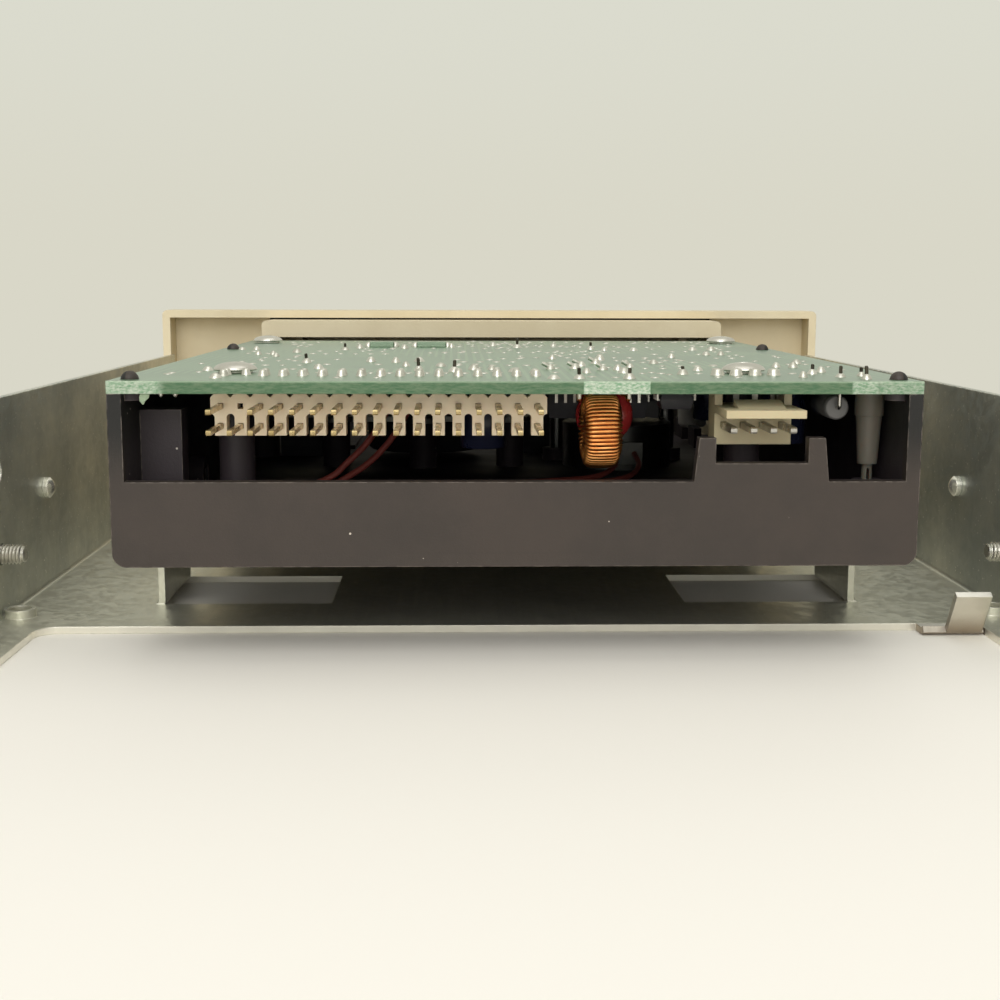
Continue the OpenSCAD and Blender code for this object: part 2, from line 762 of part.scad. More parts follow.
// Comb shaped insulator of the right-angle data header
module data_header() {
    top = board_z;
    bottom = board_z - header_h;
    left = header_x - header_pitch / 2;
    color([0.85, 0.78, 0.66]) on_origin() difference() {
        block([left, header_y, bottom], [left + header_columns * header_pitch, header_y + header_t, top]);
        for (c = [0 : header_columns]) along_y(header_y - eps, header_y + header_t + eps)
            translate([left + c * header_pitch, 0]) {
                translate([-slot_w / 2, bottom - eps]) square([slot_w, slot_h + eps - slot_w / 2]);
                translate([0, bottom + slot_h - slot_w / 2]) circle(slot_w / 2);
                translate([0, top]) rotate(45) square(notch_side, center = true);
            }
        for (c = [0 : header_columns - 1], row = [0, 1]) {
            hole = header_pin + 0.06;
            z = board_z - header_rows_drop[row];
            block([header_x + c * header_pitch - hole / 2, header_y - eps, z - hole / 2],
                  [header_x + c * header_pitch + hole / 2, header_y + header_t + eps, z + hole / 2]);
        }
    }
}

module header_pins() {
    color("goldenrod") on_origin() for (c = [0 : header_columns - 1], row = [0, 1])
        if (has_pin(c, row))
            bent_pin(header_x + c * header_pitch, header_pin, -pin_reach, leg_ys[row],
                     board_z - header_rows_drop[row], board_top + pin_tail);
}

// Square pin that runs along Y at height z and turns up at leg_y to a pointed tail
module bent_pin(x, s, tip_y, leg_y, z, top) {
    point = s / 4;
    along_x(x - s / 2, x + s / 2) polygon([
        [tip_y, z - s / 2 + point], [tip_y + point, z - s / 2], [leg_y, z - s / 2],
        [leg_y + s / 2, z], [leg_y + s / 2, top - point], [leg_y + s / 2 - point, top],
        [leg_y - s / 2 + point, top], [leg_y - s / 2, top - point], [leg_y - s / 2, z + s / 2],
        [tip_y + point, z + s / 2], [tip_y, z + s / 2 - point]
    ]);
}

// Power connector: a block under two legs, with a tongue that carries the locking ramp
module power_housing() {
    half = power_w / 2;
    leg = 1;
    low = board_z - power_h;
    color([0.82, 0.78, 0.66]) on_origin() difference() {
        translate([power_x, power_y, 0]) {
            block([-half, 0, low], [half, power_depth, low + power_face_h]);
            for (s = [-half, half - leg]) block([s, 0, low], [s + leg, power_depth, board_z]);
            block([-half, -power_y - tongue_reach, tongue_z], [half, power_depth, tongue_z + tongue_t]);
            along_x(-half + 2, half - 2) translate([-power_y - tongue_reach + 2, tongue_z + tongue_t - 0.1])
                polygon([[0, 0], [4, 0], [4, 1]]);
        }
        for (c = [0 : power_pins - 1]) {
            hole = power_pin + 0.06;
            z = board_z - power_drop;
            block([power_pin_x(c) - hole / 2, power_y - eps, z - hole / 2],
                  [power_pin_x(c) + hole / 2, power_y + power_depth + eps, z + hole / 2]);
        }
    }
}

module power_pins() {
    color("silver") on_origin() for (c = [0 : power_pins - 1])
        bent_pin(power_pin_x(c), power_pin, -power_reach, power_leg_y,
                 board_z - power_drop, board_top + pin_tail);
}

// Ring core of the inductor, its axis along X
module inductor_core() {
    inner = coil_in_r + coil_gap;
    outer = coil_out_r - coil_gap;
    half = coil_half - coil_gap;
    c = coil_corner - 0.15;
    color([0.35, 0.33, 0.22]) on_origin() translate([coil_x, coil_y, coil_z]) rotate([0, 90, 0])
        rotate_extrude() polygon([
            [inner, c - half], [inner + c, -half], [outer - c, -half], [outer, c - half],
            [outer, half - c], [outer - c, half], [inner + c, half], [inner, half - c]
        ]);
}

// One turn's eight stations as [radius, axial place]; odd turns lie over the even ones inside,
// and the wire moves on to the next turn only where it crosses the outside
function turn_station(k, odd) =
    let (a = coil_half - coil_corner, lift = odd ? coil_layer : 0,
         r_in = coil_in_r - lift, h_in = coil_half + lift)
        [[coil_out_r, -a], [coil_out_r, a], [coil_out_r - coil_corner, coil_half],
         [r_in + coil_corner, h_in], [r_in, a], [r_in, -a],
         [r_in + coil_corner, -h_in], [coil_out_r - coil_corner, -coil_half]][k];
function coil_point(s) =
    let (turn = floor(s / 8), p = turn_station(s % 8, turn % 2 == 1),
         advance = s % 8 == 0 ? turn : turn + 1,
         angle = 180 - coil_sweep / 2 + coil_sweep * advance / coil_turns)
        [p[1], p[0] * sin(angle), p[0] * cos(angle)];
function coil_lead(p, side) =
    let (x = p.x + side * 0.7, top = board_z - coil_z)
        [[x, p.y, top], [x, p.y, top - coil_wire], [x, p.y, p.z + 0.35], [x - side * 0.2, p.y, p.z + 0.1]];
function reversed(p) = [for (i = [len(p) - 1 : -1 : 0]) p[i]];
coil_turn_points = [for (s = [0 : 8 * coil_turns - 7]) coil_point(s)];
coil_path = concat(
    coil_lead(coil_turn_points[0], -1),
    coil_turn_points,
    reversed(coil_lead(coil_turn_points[len(coil_turn_points) - 1], 1))
);
echo(least_gap_of_the_winding = least_gap(with_middles(coil_path), coil_wire, 10));

module inductor_winding() {
    color([0.72, 0.4, 0.16]) on_origin() translate([coil_x, coil_y, coil_z])
        tube(coil_path, coil_wire / 2, 6);
}

// Dipped disc on two leads, behind the inductor
module dipped_fuse() {
    r = 3.7;
    t = 2.6;
    x = coil_x + 1.3;
    y = coil_y + coil_out_r + 2.6;
    z = board_z - 0.25 - r;
    color([0.5, 0.09, 0.1]) on_origin() {
        translate([x, y + t / 2, z]) rotate([90, 0, 0]) rotate_extrude() {
            square([r - t / 2, t]);
            intersection() {
                translate([r - t / 2, t / 2]) circle(t / 2);
                translate([0, 0]) square([r, t]);
            }
        }
        for (s = [-1, 1]) rod_z(0.3, z + 1, board_z, x + s * 2.54, y);
    }
}

// Small outline chip near the board's rear edge, hanging from its legs
module edge_chip() {
    w = 4.4;
    l = 5;
    t = 2.4;
    gap = 0.25;
    mid = -gap - t / 2;
    color([0.12, 0.12, 0.13]) on_origin() translate([coil_x + 10, 9, board_z]) {
        along_y(0, l) polygon([
            [-w / 2 + 0.25, -gap], [w / 2 - 0.25, -gap], [w / 2, mid], [w / 2 - 0.25, -gap - t],
            [-w / 2 + 0.25, -gap - t], [-w / 2, mid]
        ]);
        for (s = [-1, 1], k = [0 : 3]) translate([0, 0.4 + k * 1.27, 0]) {
            block([s * (w / 2 + 0.2) - 0.5, 0, mid - 0.1], [s * (w / 2 + 0.2) + 0.5, 0.4, mid + 0.1]);
            block([s * (w / 2 + 0.6) - 0.1, 0, mid - 0.1], [s * (w / 2 + 0.6) + 0.1, 0.4, 0]);
        }
    }
}

// Axial capacitor, end on to the rear, with its leads bent up to the board
module axial_capacitor() {
    r = 1.65;
    l = 8;
    x = post_x - 4.55;
    y = 9.5;
    z = board_z - 2.5;
    lead = 0.3;
    color([0.45, 0.44, 0.43]) on_origin() {
        rod_y(r, y, y + l, x, z);
        for (s = [0, 1]) {
            end = s == 0 ? y - 1.2 : y + l + 1.2;
            rod_y(lead, min(end, y + s * l), max(end, y + s * l), x, z);
            translate([x, end, z]) sphere(lead);
            rod_z(lead, z, board_z, x, end);
        }
    }
}

// Tapered nylon post under the board, its split tip held in a boss of the chassis
post_x = inner_x - 2;
post_y = 10.5;
post_foot = chassis_z + sill_h + 1;
post_seat = chassis_z + sill_h - 1.1;
post_boss_r = 1.9;
post_tip_r = 0.7;
module board_post() {
    tip = post_seat - 2.5;
    color([0.5, 0.49, 0.46]) on_origin() translate([post_x, post_y, 0]) {
        translate([0, 0, post_foot]) cylinder(r1 = 1.3, r2 = 1.7, h = board_z - 3.6 - post_foot);
        translate([0, 0, board_z - 3.6]) cylinder(r = 1.9, h = 3.6);
        difference() {
            translate([0, 0, tip]) cylinder(r = post_tip_r, h = post_foot + 0.2 - tip);
            block([-0.2, -2, tip - 0.5], [0.2, 2, post_foot - 0.6]);
        }
    }
}

// Larger chips under the board: two chip carriers, a flat pack and two small outlines
rear_carrier_place = [11.8, 25.5];
rear_carrier_size = [14, 11.4, 4.6];
carrier_place = [-24, 58];
carrier_size = [16.5, 16.5, 3.8];
flat_pack_place = [4, 62];
flat_pack_size = [20, 14, 2.4];
driver_place = [-34, 36];
driver_size = [10.2, 7.4, 2.3];
amplifier_place = [33, 46];
amplifier_size = [17.8, 7.4, 2.3];
module board_chips() {
    color([0.1, 0.1, 0.11]) on_origin() {
        chip(rear_carrier_place, rear_carrier_size, 10, 7);
        chip(carrier_place, carrier_size, 7, 7);
        chip(flat_pack_place, flat_pack_size, 10, 7);
        chip(driver_place, driver_size, 5, 0);
        chip(amplifier_place, amplifier_size, 7, 0);
    }
}

module chip(place, size, n_x, n_y) {
    w = size.x;
    l = size.y;
    h = size.z;
    foot = 0.3;
    translate([place.x, place.y, board_z]) {
        block([-w / 2, -l / 2, -foot - h], [w / 2, l / 2, -foot]);
        for (s = [-1, 1]) {
            for (k = [0 : n_x - 1])
                chip_leg((k - (n_x - 1) / 2) * w / (n_x + 1), s * (l / 2 + 0.25), [0.4, 0.6], foot + h / 2);
            if (n_y > 0) for (k = [0 : n_y - 1])
                chip_leg(s * (w / 2 + 0.25), (k - (n_y - 1) / 2) * l / (n_y + 1), [0.6, 0.4], foot + h / 2);
        }
    }
}

module chip_leg(x, y, size, h) {
    translate([x - size.x / 2, y - size.y / 2, -h]) cube([size.x, size.y, h]);
}

crystal_place = [14, 36.5];
crystal_size = [11, 4.6, 3.6];
crystal_rim = 0.6;
module crystal_can() {
    color("gainsboro") on_origin() translate([crystal_place.x, crystal_place.y, board_z - crystal_size.z]) {
        linear_extrude(crystal_size.z - crystal_rim) rounded_rect(crystal_size.x, crystal_size.y, 2.2);
        translate([0, 0, crystal_size.z - crystal_rim]) linear_extrude(crystal_rim)
            rounded_rect(crystal_size.x + crystal_rim, crystal_size.y + crystal_rim, 2.5);
    }
}

cap_places = [[-40, 66], [36, 66], [40, 30], [-4, 24]];
cap_r = 3.15;
cap_h = 9.2;
cap_foot = 0.2;
module electrolytic_caps() {
    color([0.15, 0.16, 0.22]) on_origin() for (p = cap_places)
        translate([p.x, p.y, board_z - cap_foot]) {
            translate([0, 0, -cap_h]) cylinder(r = cap_r, h = cap_h);
            for (s = [-1.25, 1.25]) translate([s, 0, -cap_foot]) cylinder(r = 0.25, h = 2 * cap_foot);
        }
}

// Bay bezel: a rimmed panel with a window for the drive and an arm to each wall of the frame
module bay_bezel() {
    arm_x = frame_w / 2 - sheet_t - fit;
    edge = 1;
    color([0.84, 0.8, 0.7]) on_origin() difference() {
        union() {
            difference() {
                along_y(bezel_back, bezel_front) translate([0, bay_bezel_h / 2])
                    rounded_rect(bay_bezel_w, bay_bezel_h, 1.2);
                block([-bay_bezel_w / 2 + bay_rim_t, bezel_back - eps, bay_rim_t],
                      [bay_bezel_w / 2 - bay_rim_t, bezel_front - bay_panel_t, bay_bezel_h - bay_rim_t]);
                for (z = [0, bay_bezel_h]) translate([0, bezel_front, z]) rotate([45, 0, 0])
                    cube([bay_bezel_w + 1, edge, edge], center = true);
                for (x = [-1, 1]) translate([x * bay_bezel_w / 2, bezel_front, bay_bezel_h / 2])
                    rotate([0, 0, 45]) cube([edge, edge, bay_bezel_h + 1], center = true);
            }
            both_sides() block([arm_x - arm_t, bezel_back - arm_l, arm_z],
                               [arm_x, bezel_front - bay_panel_t + 0.2, arm_z + arm_h]);
        }
        block([-drive_w / 2 - bay_window_gap, bezel_back - eps, drive_bezel_z - bay_window_gap],
              [drive_w / 2 + bay_window_gap, bezel_front + eps, drive_bezel_top + bay_window_gap]);
        both_sides() rod_x(screw_r + 0.1, arm_x - arm_t - eps, arm_x + eps, bezel_screw_y, bezel_screw_z);
    }
}

// Drive bezel: a hollow front with the cartridge slot, hinge cheeks and snap tongues
module drive_bezel() {
    side_x = drive_w / 2 - drive_side_t;
    panel_y = bezel_front - drive_panel_t;
    color([0.86, 0.82, 0.72]) on_origin() difference() {
        union() {
            difference() {
                along_y(chassis_l, bezel_front) translate([0, drive_bezel_z + drive_bezel_h / 2])
                    rounded_rect(drive_w, drive_bezel_h, 1);
                block([-side_x, chassis_l - eps, bezel_inner_z],
                      [side_x, panel_y, drive_bezel_top - drive_top_t]);
                block([-slot_x, panel_y - eps, slot_z[0]], [slot_x, bezel_front + eps, slot_z[1]]);
            }
            both_sides() {
                block([cheek_x, panel_y - 8, bezel_inner_z - 0.2],
                      [cheek_x + cheek_t, panel_y + 0.2, drive_bezel_top - drive_top_t + 0.2]);
                snap_tongue();
            }
        }
        both_sides() {
            rod_x(door_pin_r + run, cheek_x - eps, cheek_x + cheek_t + eps, door_y, door_z);
        }
        rod_y(led_r + 0.1, panel_y - eps, bezel_front + eps, led_x, led_z);
    }
}

module snap_tongue() {
    outer = inner_x - fit;
    z0 = floor_z + 2.5;
    block([outer - tongue.x, chassis_l - tongue.y, z0], [outer, chassis_l + 6, z0 + tongue.z]);
    block([outer - 0.2, chassis_l, z0], [drive_w / 2 - 0.5, chassis_l + 6, z0 + tongue.z]);
    along_x_nub(outer - 0.2, drive_w / 2 - 0.6, chassis_l - 8, chassis_l - 5, floor_z + 5, floor_z + 9);
}

// Wedge shaped nub that springs into the chassis window
module along_x_nub(x0, x1, y0, y1, z0, z1) {
    translate([0, 0, z0]) linear_extrude(z1 - z0) polygon([[x0, y0], [x1, y1], [x0, y1]]);
}

// Door that closes the cartridge slot from inside and swings in under the top wall
module door_flap() {
    front = door_y + barrel_r - 0.3;
    color([0.8, 0.76, 0.66]) on_origin() difference() {
        union() {
            block([-door_x, front - door_t, door_bottom], [door_x, front, door_z]);
            rod_x(barrel_r, -door_x, door_x, door_y, door_z);
        }
        rod_x(door_pin_r + run, -door_x - eps, door_x + eps, door_y, door_z);
        block([spring_notch[0], door_y - 3, door_z - barrel_r - 0.4],
              [spring_notch[1], door_y + 3, door_z + 3]);
    }
}

module door_pin() {
    color("silver") on_origin()
        rod_x(door_pin_r, -cheek_x - cheek_t, cheek_x + cheek_t, door_y, door_z);
}

module door_spring() {
    points = spring_points(door_spring_r, 6, 0.85, 0.6, 4);
    echo(least_gap_of_the_door_spring = least_gap(points, door_spring_wire, 6));
    color("gray") on_origin() translate([spring_notch[0] + 1, door_y, door_z])
        rotate([0, 90, 0]) rotate([0, 0, -90]) tube(points, door_spring_wire / 2, 6);
}

module activity_led() {
    collar_y = bezel_front - drive_panel_t - 0.1;
    color("yellowgreen") on_origin() {
        rod_y(led_r, collar_y - 5, bezel_front - 1, led_x, led_z);
        rod_y(led_r + 0.3, collar_y - 1, collar_y, led_x, led_z);
        translate([led_x, bezel_front - 1, led_z]) rotate([-90, 0, 0]) dome(led_r, 0.8);
    }
}

module led_leads() {
    back = bezel_front - drive_panel_t - 5.1;
    half = led_lead / 2;
    color("silver") on_origin() for (s = [-0.64, 0.64]) {
        block([led_x + s - half, led_lead_y, led_z - half], [led_x + s + half, back, led_z + half]);
        block([led_x + s - half, led_lead_y, led_z - half],
              [led_x + s + half, led_lead_y + led_lead, board_z]);
    }
}

// Steel plate on three posts that carries the capstan motor
module motor_bracket() {
    color("silver") on_origin() difference() {
        translate([0, 0, bracket_z]) linear_extrude(bracket_t) difference() {
            union() {
                translate([capstan_x, capstan_y]) circle(motor_r);
                for (p = bracket_posts) translate([p.x, capstan_y + p.y]) circle(bracket_post_r + 1.5);
                translate([capstan_x, capstan_y - 10]) square([32, 14], center = true);
            }
            translate([capstan_x, capstan_y]) circle(capstan_shaft_r + 1);
        }
        for (p = bracket_posts)
            rod_z(screw_hole_r, bracket_z - eps, bracket_z + bracket_t + eps, p.x, capstan_y + p.y);
    }
}

module bracket_screws() {
    color("lightgray") on_origin() for (p = bracket_posts)
        translate([p.x, capstan_y + p.y, bracket_z + bracket_t])
            pan_screw(screw_r - 0.3, 5, screw_head_r, screw_head_h);
}

module capstan_motor() {
    low = bracket_z + bracket_t;
    color([0.6, 0.6, 0.62]) on_origin() translate([capstan_x, capstan_y, 0]) difference() {
        union() {
            translate([0, 0, low]) cylinder(r = motor_r, h = motor_top - 1.5 - low);
            translate([0, 0, motor_top - 1.6]) cylinder(r = motor_r - 1.2, h = 1);
            translate([0, 0, motor_top - 0.7]) cylinder(r = 3, h = 0.7);
        }
        translate([0, 0, low - eps]) cylinder(r = capstan_shaft_r + run, h = 8);
    }
}

module capstan_shaft() {
    color("silver") on_origin()
        rod_z(capstan_shaft_r, floor_z - 0.8, bracket_z + bracket_t + 6, capstan_x, capstan_y);
}

module capstan_hub() {
    color([0.75, 0.73, 0.68]) on_origin() translate([capstan_x, capstan_y, capstan_z]) difference() {
        cylinder(r = capstan_r - tyre_t, h = capstan_w);
        translate([0, 0, -eps]) cylinder(r = capstan_shaft_r, h = capstan_w + 2 * eps);
        for (a = [0 : 60 : 300]) rotate(a) translate([5, 0, -eps])
            cylinder(r = 1.3, h = capstan_w + 2 * eps);
    }
}

module capstan_tyre() {
    color([0.08, 0.08, 0.08]) on_origin() translate([capstan_x, capstan_y, capstan_z])
        rotate_extrude() difference() {
        translate([capstan_r - tyre_t, 0]) square([tyre_t, capstan_w]);
        for (z = [0, capstan_w]) translate([capstan_r, z]) rotate(45) square(0.7, center = true);
    }
}

module stepper_motor() {
    color([0.62, 0.62, 0.64]) on_origin() difference() {
        union() {
            rod_z(stepper_r, floor_z, floor_z + stepper_h, lift_x, lift_y);
            block([lift_x - lead_block.x / 2, wire_start, floor_z + 1.3],
                  [lift_x + lead_block.x / 2, wire_start + lead_block.y, floor_z + 1.3 + lead_block.z]);
        }
        rod_z(screw_shaft_r + run, floor_z + 1, floor_z + stepper_h + eps, lift_x, lift_y);
        rod_z(stepper_r - rotor_wall, floor_z + rotor_end, floor_z + stepper_h - rotor_end, lift_x, lift_y);
    }
}

// Magnet of the stepper motor, pressed on the lead screw inside the can
module rotor_magnet() {
    gap = 0.4;
    color([0.25, 0.24, 0.24]) on_origin() difference() {
        rod_z(stepper_r - rotor_wall - gap, floor_z + rotor_end + gap, floor_z + stepper_h - rotor_end - gap,
              lift_x, lift_y);
        rod_z(screw_shaft_r, floor_z, floor_z + stepper_h, lift_x, lift_y);
    }
}

module stepper_wires() {
    color([0.55, 0.1, 0.08]) on_origin() for (p = wire_routes) tube(smooth(p, wire_step), wire_d / 2, 8);
}

module lead_screw() {
    color("silver") on_origin() rod_z(screw_shaft_r, floor_z + 1.2, bridge_z + bridge_t, lift_x, lift_y);
}

module guide_rods() {
    color("silver") on_origin() for (s = [-1, 1])
        rod_z(guide_r, floor_z, bridge_z + bridge_t, lift_x + s * rod_spread, rod_y);
}

module guide_bridge() {
    color("silver") on_origin() translate([0, 0, bridge_z]) linear_extrude(bridge_t) difference() {
        translate([lift_x, (lift_y + rod_y) / 2]) rounded_rect(2 * rod_spread + 8, rod_y - lift_y + 8, 2);
        translate([lift_x, lift_y]) circle(screw_shaft_r + run);
        for (s = [-1, 1]) translate([lift_x + s * rod_spread, rod_y]) circle(guide_r);
    }
}

// Carriage that the lead screw lifts along the two guide rods
module head_carriage() {
    holder_y = cart_y - 8;
    color([0.2, 0.2, 0.22]) on_origin() difference() {
        union() {
            block([lift_x - 5, lift_y - 4.5, carriage_z], [lift_x + 5, holder_y, carriage_z + carriage_h]);
            block([lift_x - rod_spread - 3, rod_y - 3, carriage_z],
                  [lift_x + rod_spread + 3, rod_y + 3, carriage_z + carriage_h]);
            block([lift_x - 5, holder_y - 4, head_z - head_h / 2 - 0.5],
                  [lift_x + 5, holder_y, carriage_z + carriage_h]);
        }
        rod_z(screw_shaft_r + run, carriage_z - eps, carriage_z + carriage_h + eps, lift_x, lift_y);
        for (s = [-1, 1])
            rod_z(guide_r + run, carriage_z - eps, carriage_z + carriage_h + eps,
                  lift_x + s * rod_spread, rod_y);
    }
}

// Magnetic head with a rounded face that meets the tape
module tape_head() {
    holder_y = cart_y - 8;
    face_r = 5;
    color("silver") on_origin() translate([lift_x, 0, head_z - head_h / 2])
        linear_extrude(head_h) intersection() {
        translate([-head_w / 2, holder_y]) square([head_w, 7.5]);
        translate([0, holder_y + 7.5 - face_r]) {
            circle(face_r);
            translate([-head_w / 2, -face_r]) square([head_w, face_r]);
        }
    }
}

module latch_lever() {
    dx = roller_x - latch_x;
    dy = roller_y - latch_y;
    length = norm([dx, dy]);
    difference() {
        union() {
            translate([latch_x, latch_y, latch_z]) linear_extrude(latch_t) {
                circle(latch_hub_r);
                translate([dx, dy]) circle(roller_pin_r + 1);
                rotate(atan2(dy, dx)) translate([0, -1.5]) square([length, 3]);
            }
            rod_z(roller_pin_r, latch_z - roller_h - 0.6, latch_z + 0.1, roller_x, roller_y);
        }
        rod_z(latch_pin_r + run, latch_z - eps, latch_z + latch_t + eps, latch_x, latch_y);
    }
}

module latch_lever_left() {
    color("silver") on_origin() mirror([1, 0, 0]) latch_lever();
}

module latch_lever_right() {
    color("silver") on_origin() latch_lever();
}

module latch_roller() {
    translate([roller_x, roller_y, latch_z - roller_h - 0.3]) rotate_extrude() {
        difference() {
            translate([roller_pin_r + run, 0]) square([roller_r - roller_pin_r - run, roller_h]);
            for (z = [0, roller_h]) translate([roller_r, z]) rotate(45) square(0.8, center = true);
        }
    }
}

module latch_roller_left() {
    color([0.88, 0.87, 0.82]) on_origin() mirror([1, 0, 0]) latch_roller();
}

module latch_roller_right() {
    color([0.88, 0.87, 0.82]) on_origin() latch_roller();
}

module latch_spring() {
    stub = 0.6;
    points = spring_points(latch_spring_r, 3, 0.95, stub, 6);
    translate([latch_x, latch_y, latch_z + latch_t + stub])
        tube(points, spring_wire / 2, 6);
}

module latch_spring_left() {
    color("gray") on_origin() mirror([1, 0, 0]) latch_spring();
}

module latch_spring_right() {
    color("gray") on_origin() latch_spring();
}

// Housing of the two switches that feel the cartridge and its write-protect tab
module switch_block() {
    color([0.12, 0.12, 0.13]) on_origin() difference() {
        block([switch_lo.x, switch_lo.y, floor_z],
              [switch_lo.x + switch_size.x, switch_lo.y + switch_size.y, floor_z + switch_h]);
        for (x = plunger_xs) block([x - plunger_w / 2 - fit, switch_lo.y + 1.5, floor_z + 3 - fit],
                                   [x + plunger_w / 2 + fit, cart_y, floor_z + 3 + plunger_w + fit]);
    }
}

module switch_plunger(x) {
    color([0.85, 0.84, 0.8]) on_origin() along_x(x - plunger_w / 2, x + plunger_w / 2) {
        y0 = switch_lo.y + 1.5 + plunger_reach;
        translate([y0, floor_z + 3]) square([cart_y + plunger_reach - 1 - y0 - plunger_w / 2, plunger_w]);
        translate([cart_y + plunger_reach - 1 - plunger_w / 2, floor_z + 3 + plunger_w / 2])
            circle(plunger_w / 2);
    }
}

module cartridge_plunger() {
    switch_plunger(plunger_xs[0]);
}

module protect_plunger() {
    switch_plunger(plunger_xs[1]);
}

// Optical sensor that sees the holes at the ends of the tape
module tape_sensor() {
    color([0.1, 0.1, 0.11]) on_origin() translate([8, cart_y - 7, floor_z]) {
        block([-3, 0, 0], [3, 5, 9]);
        for (s = [-1.4, 1.4]) translate([s, 5, 6]) rotate([-90, 0, 0]) dome(1, 0.7);
    }
}

mounting_frame();
bay_bezel();
bezel_screws();
bay_side_screws();
drive_screws();
chassis();
main_board();
board_screws();
data_header();
header_pins();
power_housing();
power_pins();
inductor_core();
inductor_winding();
dipped_fuse();
edge_chip();
axial_capacitor();
board_post();
board_chips();
crystal_can();
electrolytic_caps();
drive_bezel();
door_flap();
door_pin();
door_spring();
activity_led();
led_leads();
motor_bracket();
bracket_screws();
capstan_motor();
capstan_shaft();
capstan_hub();
capstan_tyre();
stepper_motor();
stepper_wires();
rotor_magnet();
lead_screw();
guide_rods();
guide_bridge();
head_carriage();
tape_head();
latch_lever_left();
latch_lever_right();
latch_roller_left();
latch_roller_right();
latch_spring_left();
latch_spring_right();
switch_block();
cartridge_plunger();
protect_plunger();
tape_sensor();
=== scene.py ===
# %% [markdown]
# # A tape backup drive in its bay frame
# The drive comes in as a imported CAD model with real sizes, in metres. It stays fixed here. This lesson
# dresses it: the finishes are shader nodes, and small pieces that a solid model leaves plain, such as
# solder, threads and windings, are modelled around it. We start by loading the model.

# %% Load the frame
import bpy
import json
import math
import random
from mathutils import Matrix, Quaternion, Vector


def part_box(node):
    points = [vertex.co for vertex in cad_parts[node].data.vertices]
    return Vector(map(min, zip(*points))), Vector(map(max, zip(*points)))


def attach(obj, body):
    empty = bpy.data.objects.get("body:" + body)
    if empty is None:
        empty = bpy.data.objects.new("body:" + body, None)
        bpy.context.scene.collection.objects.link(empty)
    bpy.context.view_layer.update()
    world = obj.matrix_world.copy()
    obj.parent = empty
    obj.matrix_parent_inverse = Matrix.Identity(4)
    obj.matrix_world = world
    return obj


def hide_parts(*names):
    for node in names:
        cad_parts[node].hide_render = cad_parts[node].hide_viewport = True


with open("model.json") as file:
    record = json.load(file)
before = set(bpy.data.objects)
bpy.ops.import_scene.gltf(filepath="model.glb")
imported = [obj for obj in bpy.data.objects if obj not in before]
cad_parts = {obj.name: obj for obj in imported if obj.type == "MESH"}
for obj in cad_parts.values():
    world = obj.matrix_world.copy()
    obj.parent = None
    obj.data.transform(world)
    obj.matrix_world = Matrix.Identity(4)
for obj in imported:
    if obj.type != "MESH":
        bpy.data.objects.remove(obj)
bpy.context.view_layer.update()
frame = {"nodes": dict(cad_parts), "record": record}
bpy.ops.object.select_all(action="DESELECT")
scene = bpy.context.scene
scene.view_settings.view_transform = "Standard"

MM = 0.001
TRAY_DEPTH = 19.8
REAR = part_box("chassis")[0].y
BOARD_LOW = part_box("main_board")[0].z
BOARD_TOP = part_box("main_board")[1].z
FLOOR_TOP = BOARD_LOW - TRAY_DEPTH * MM


def place(x, y, z=0.0):
    """A point from the source's millimetres: y counts from the chassis's rear face."""
    return Vector((x * MM, REAR + y * MM, z * MM))


print("board from", round(BOARD_LOW / MM, 2), "to", round(BOARD_TOP / MM, 2), "mm")

# %% [markdown]
# ## Camera
# The picture is taken from close behind the drive, a little above the board, so the frame's walls open
# wide at both sides. Its place and tilt were worked out from the known width of the drive and the pitch
# of the pin header. The picture is square, so the sensor's width serves both ways.

# %% Camera
CAMERA_PLACE = (-7.27, -252.5, 48.0)
CAMERA_DIP = 8.65
CAMERA_TURN = -1.64
CAMERA_ROLL = 0.15
LENS = 51.12
SENSOR = 36.0

camera_data = bpy.data.cameras.new("rear_camera")
camera_data.sensor_width = SENSOR
camera_data.lens = LENS
camera_data.clip_start = 0.01
camera = bpy.data.objects.new("rear_camera", camera_data)
scene.collection.objects.link(camera)
camera.location = Vector(CAMERA_PLACE) * MM
camera.rotation_euler = (math.radians(90 - CAMERA_DIP), 0.0, math.radians(CAMERA_TURN))
camera.rotation_euler.rotate_axis("Z", math.radians(CAMERA_ROLL))
scene.camera = camera
print("camera at", [round(c, 4) for c in camera.location])

# %% [markdown]
# ## Helpers for modelling by hand
# Each piece starts as a primitive and is shaped in edit mode. An operator works on whatever is selected,
# so a few small helpers keep the selection clean, choose faces by their place, move a finished piece to
# its spot with its place in the mesh, and copy what repeats.


# %% Modelling helpers
def take(obj):
    """Makes one object the only selected and active one."""
    if bpy.context.object and bpy.context.object.mode != "OBJECT":
        bpy.ops.object.mode_set(mode="OBJECT")
    bpy.ops.object.select_all(action="DESELECT")
    obj.select_set(True)
    bpy.context.view_layer.objects.active = obj
    return obj


def edit_faces(obj, test):
    """Opens edit mode with the faces selected whose centre and normal pass the test."""
    take(obj)
    bpy.context.tool_settings.mesh_select_mode = (False, False, True)
    bpy.ops.object.mode_set(mode="EDIT")
    bpy.ops.mesh.select_all(action="DESELECT")
    bpy.ops.object.mode_set(mode="OBJECT")
    for face in obj.data.polygons:
        face.select = test(face.center, face.normal)
    bpy.ops.object.mode_set(mode="EDIT")


def close_edit(obj, smooth=None):
    """Leaves edit mode, and shades smooth below the given angle in degrees."""
    bpy.ops.object.mode_set(mode="OBJECT")
    take(obj)
    if smooth:
        bpy.ops.object.shade_smooth_by_angle(angle=math.radians(smooth))
    return obj


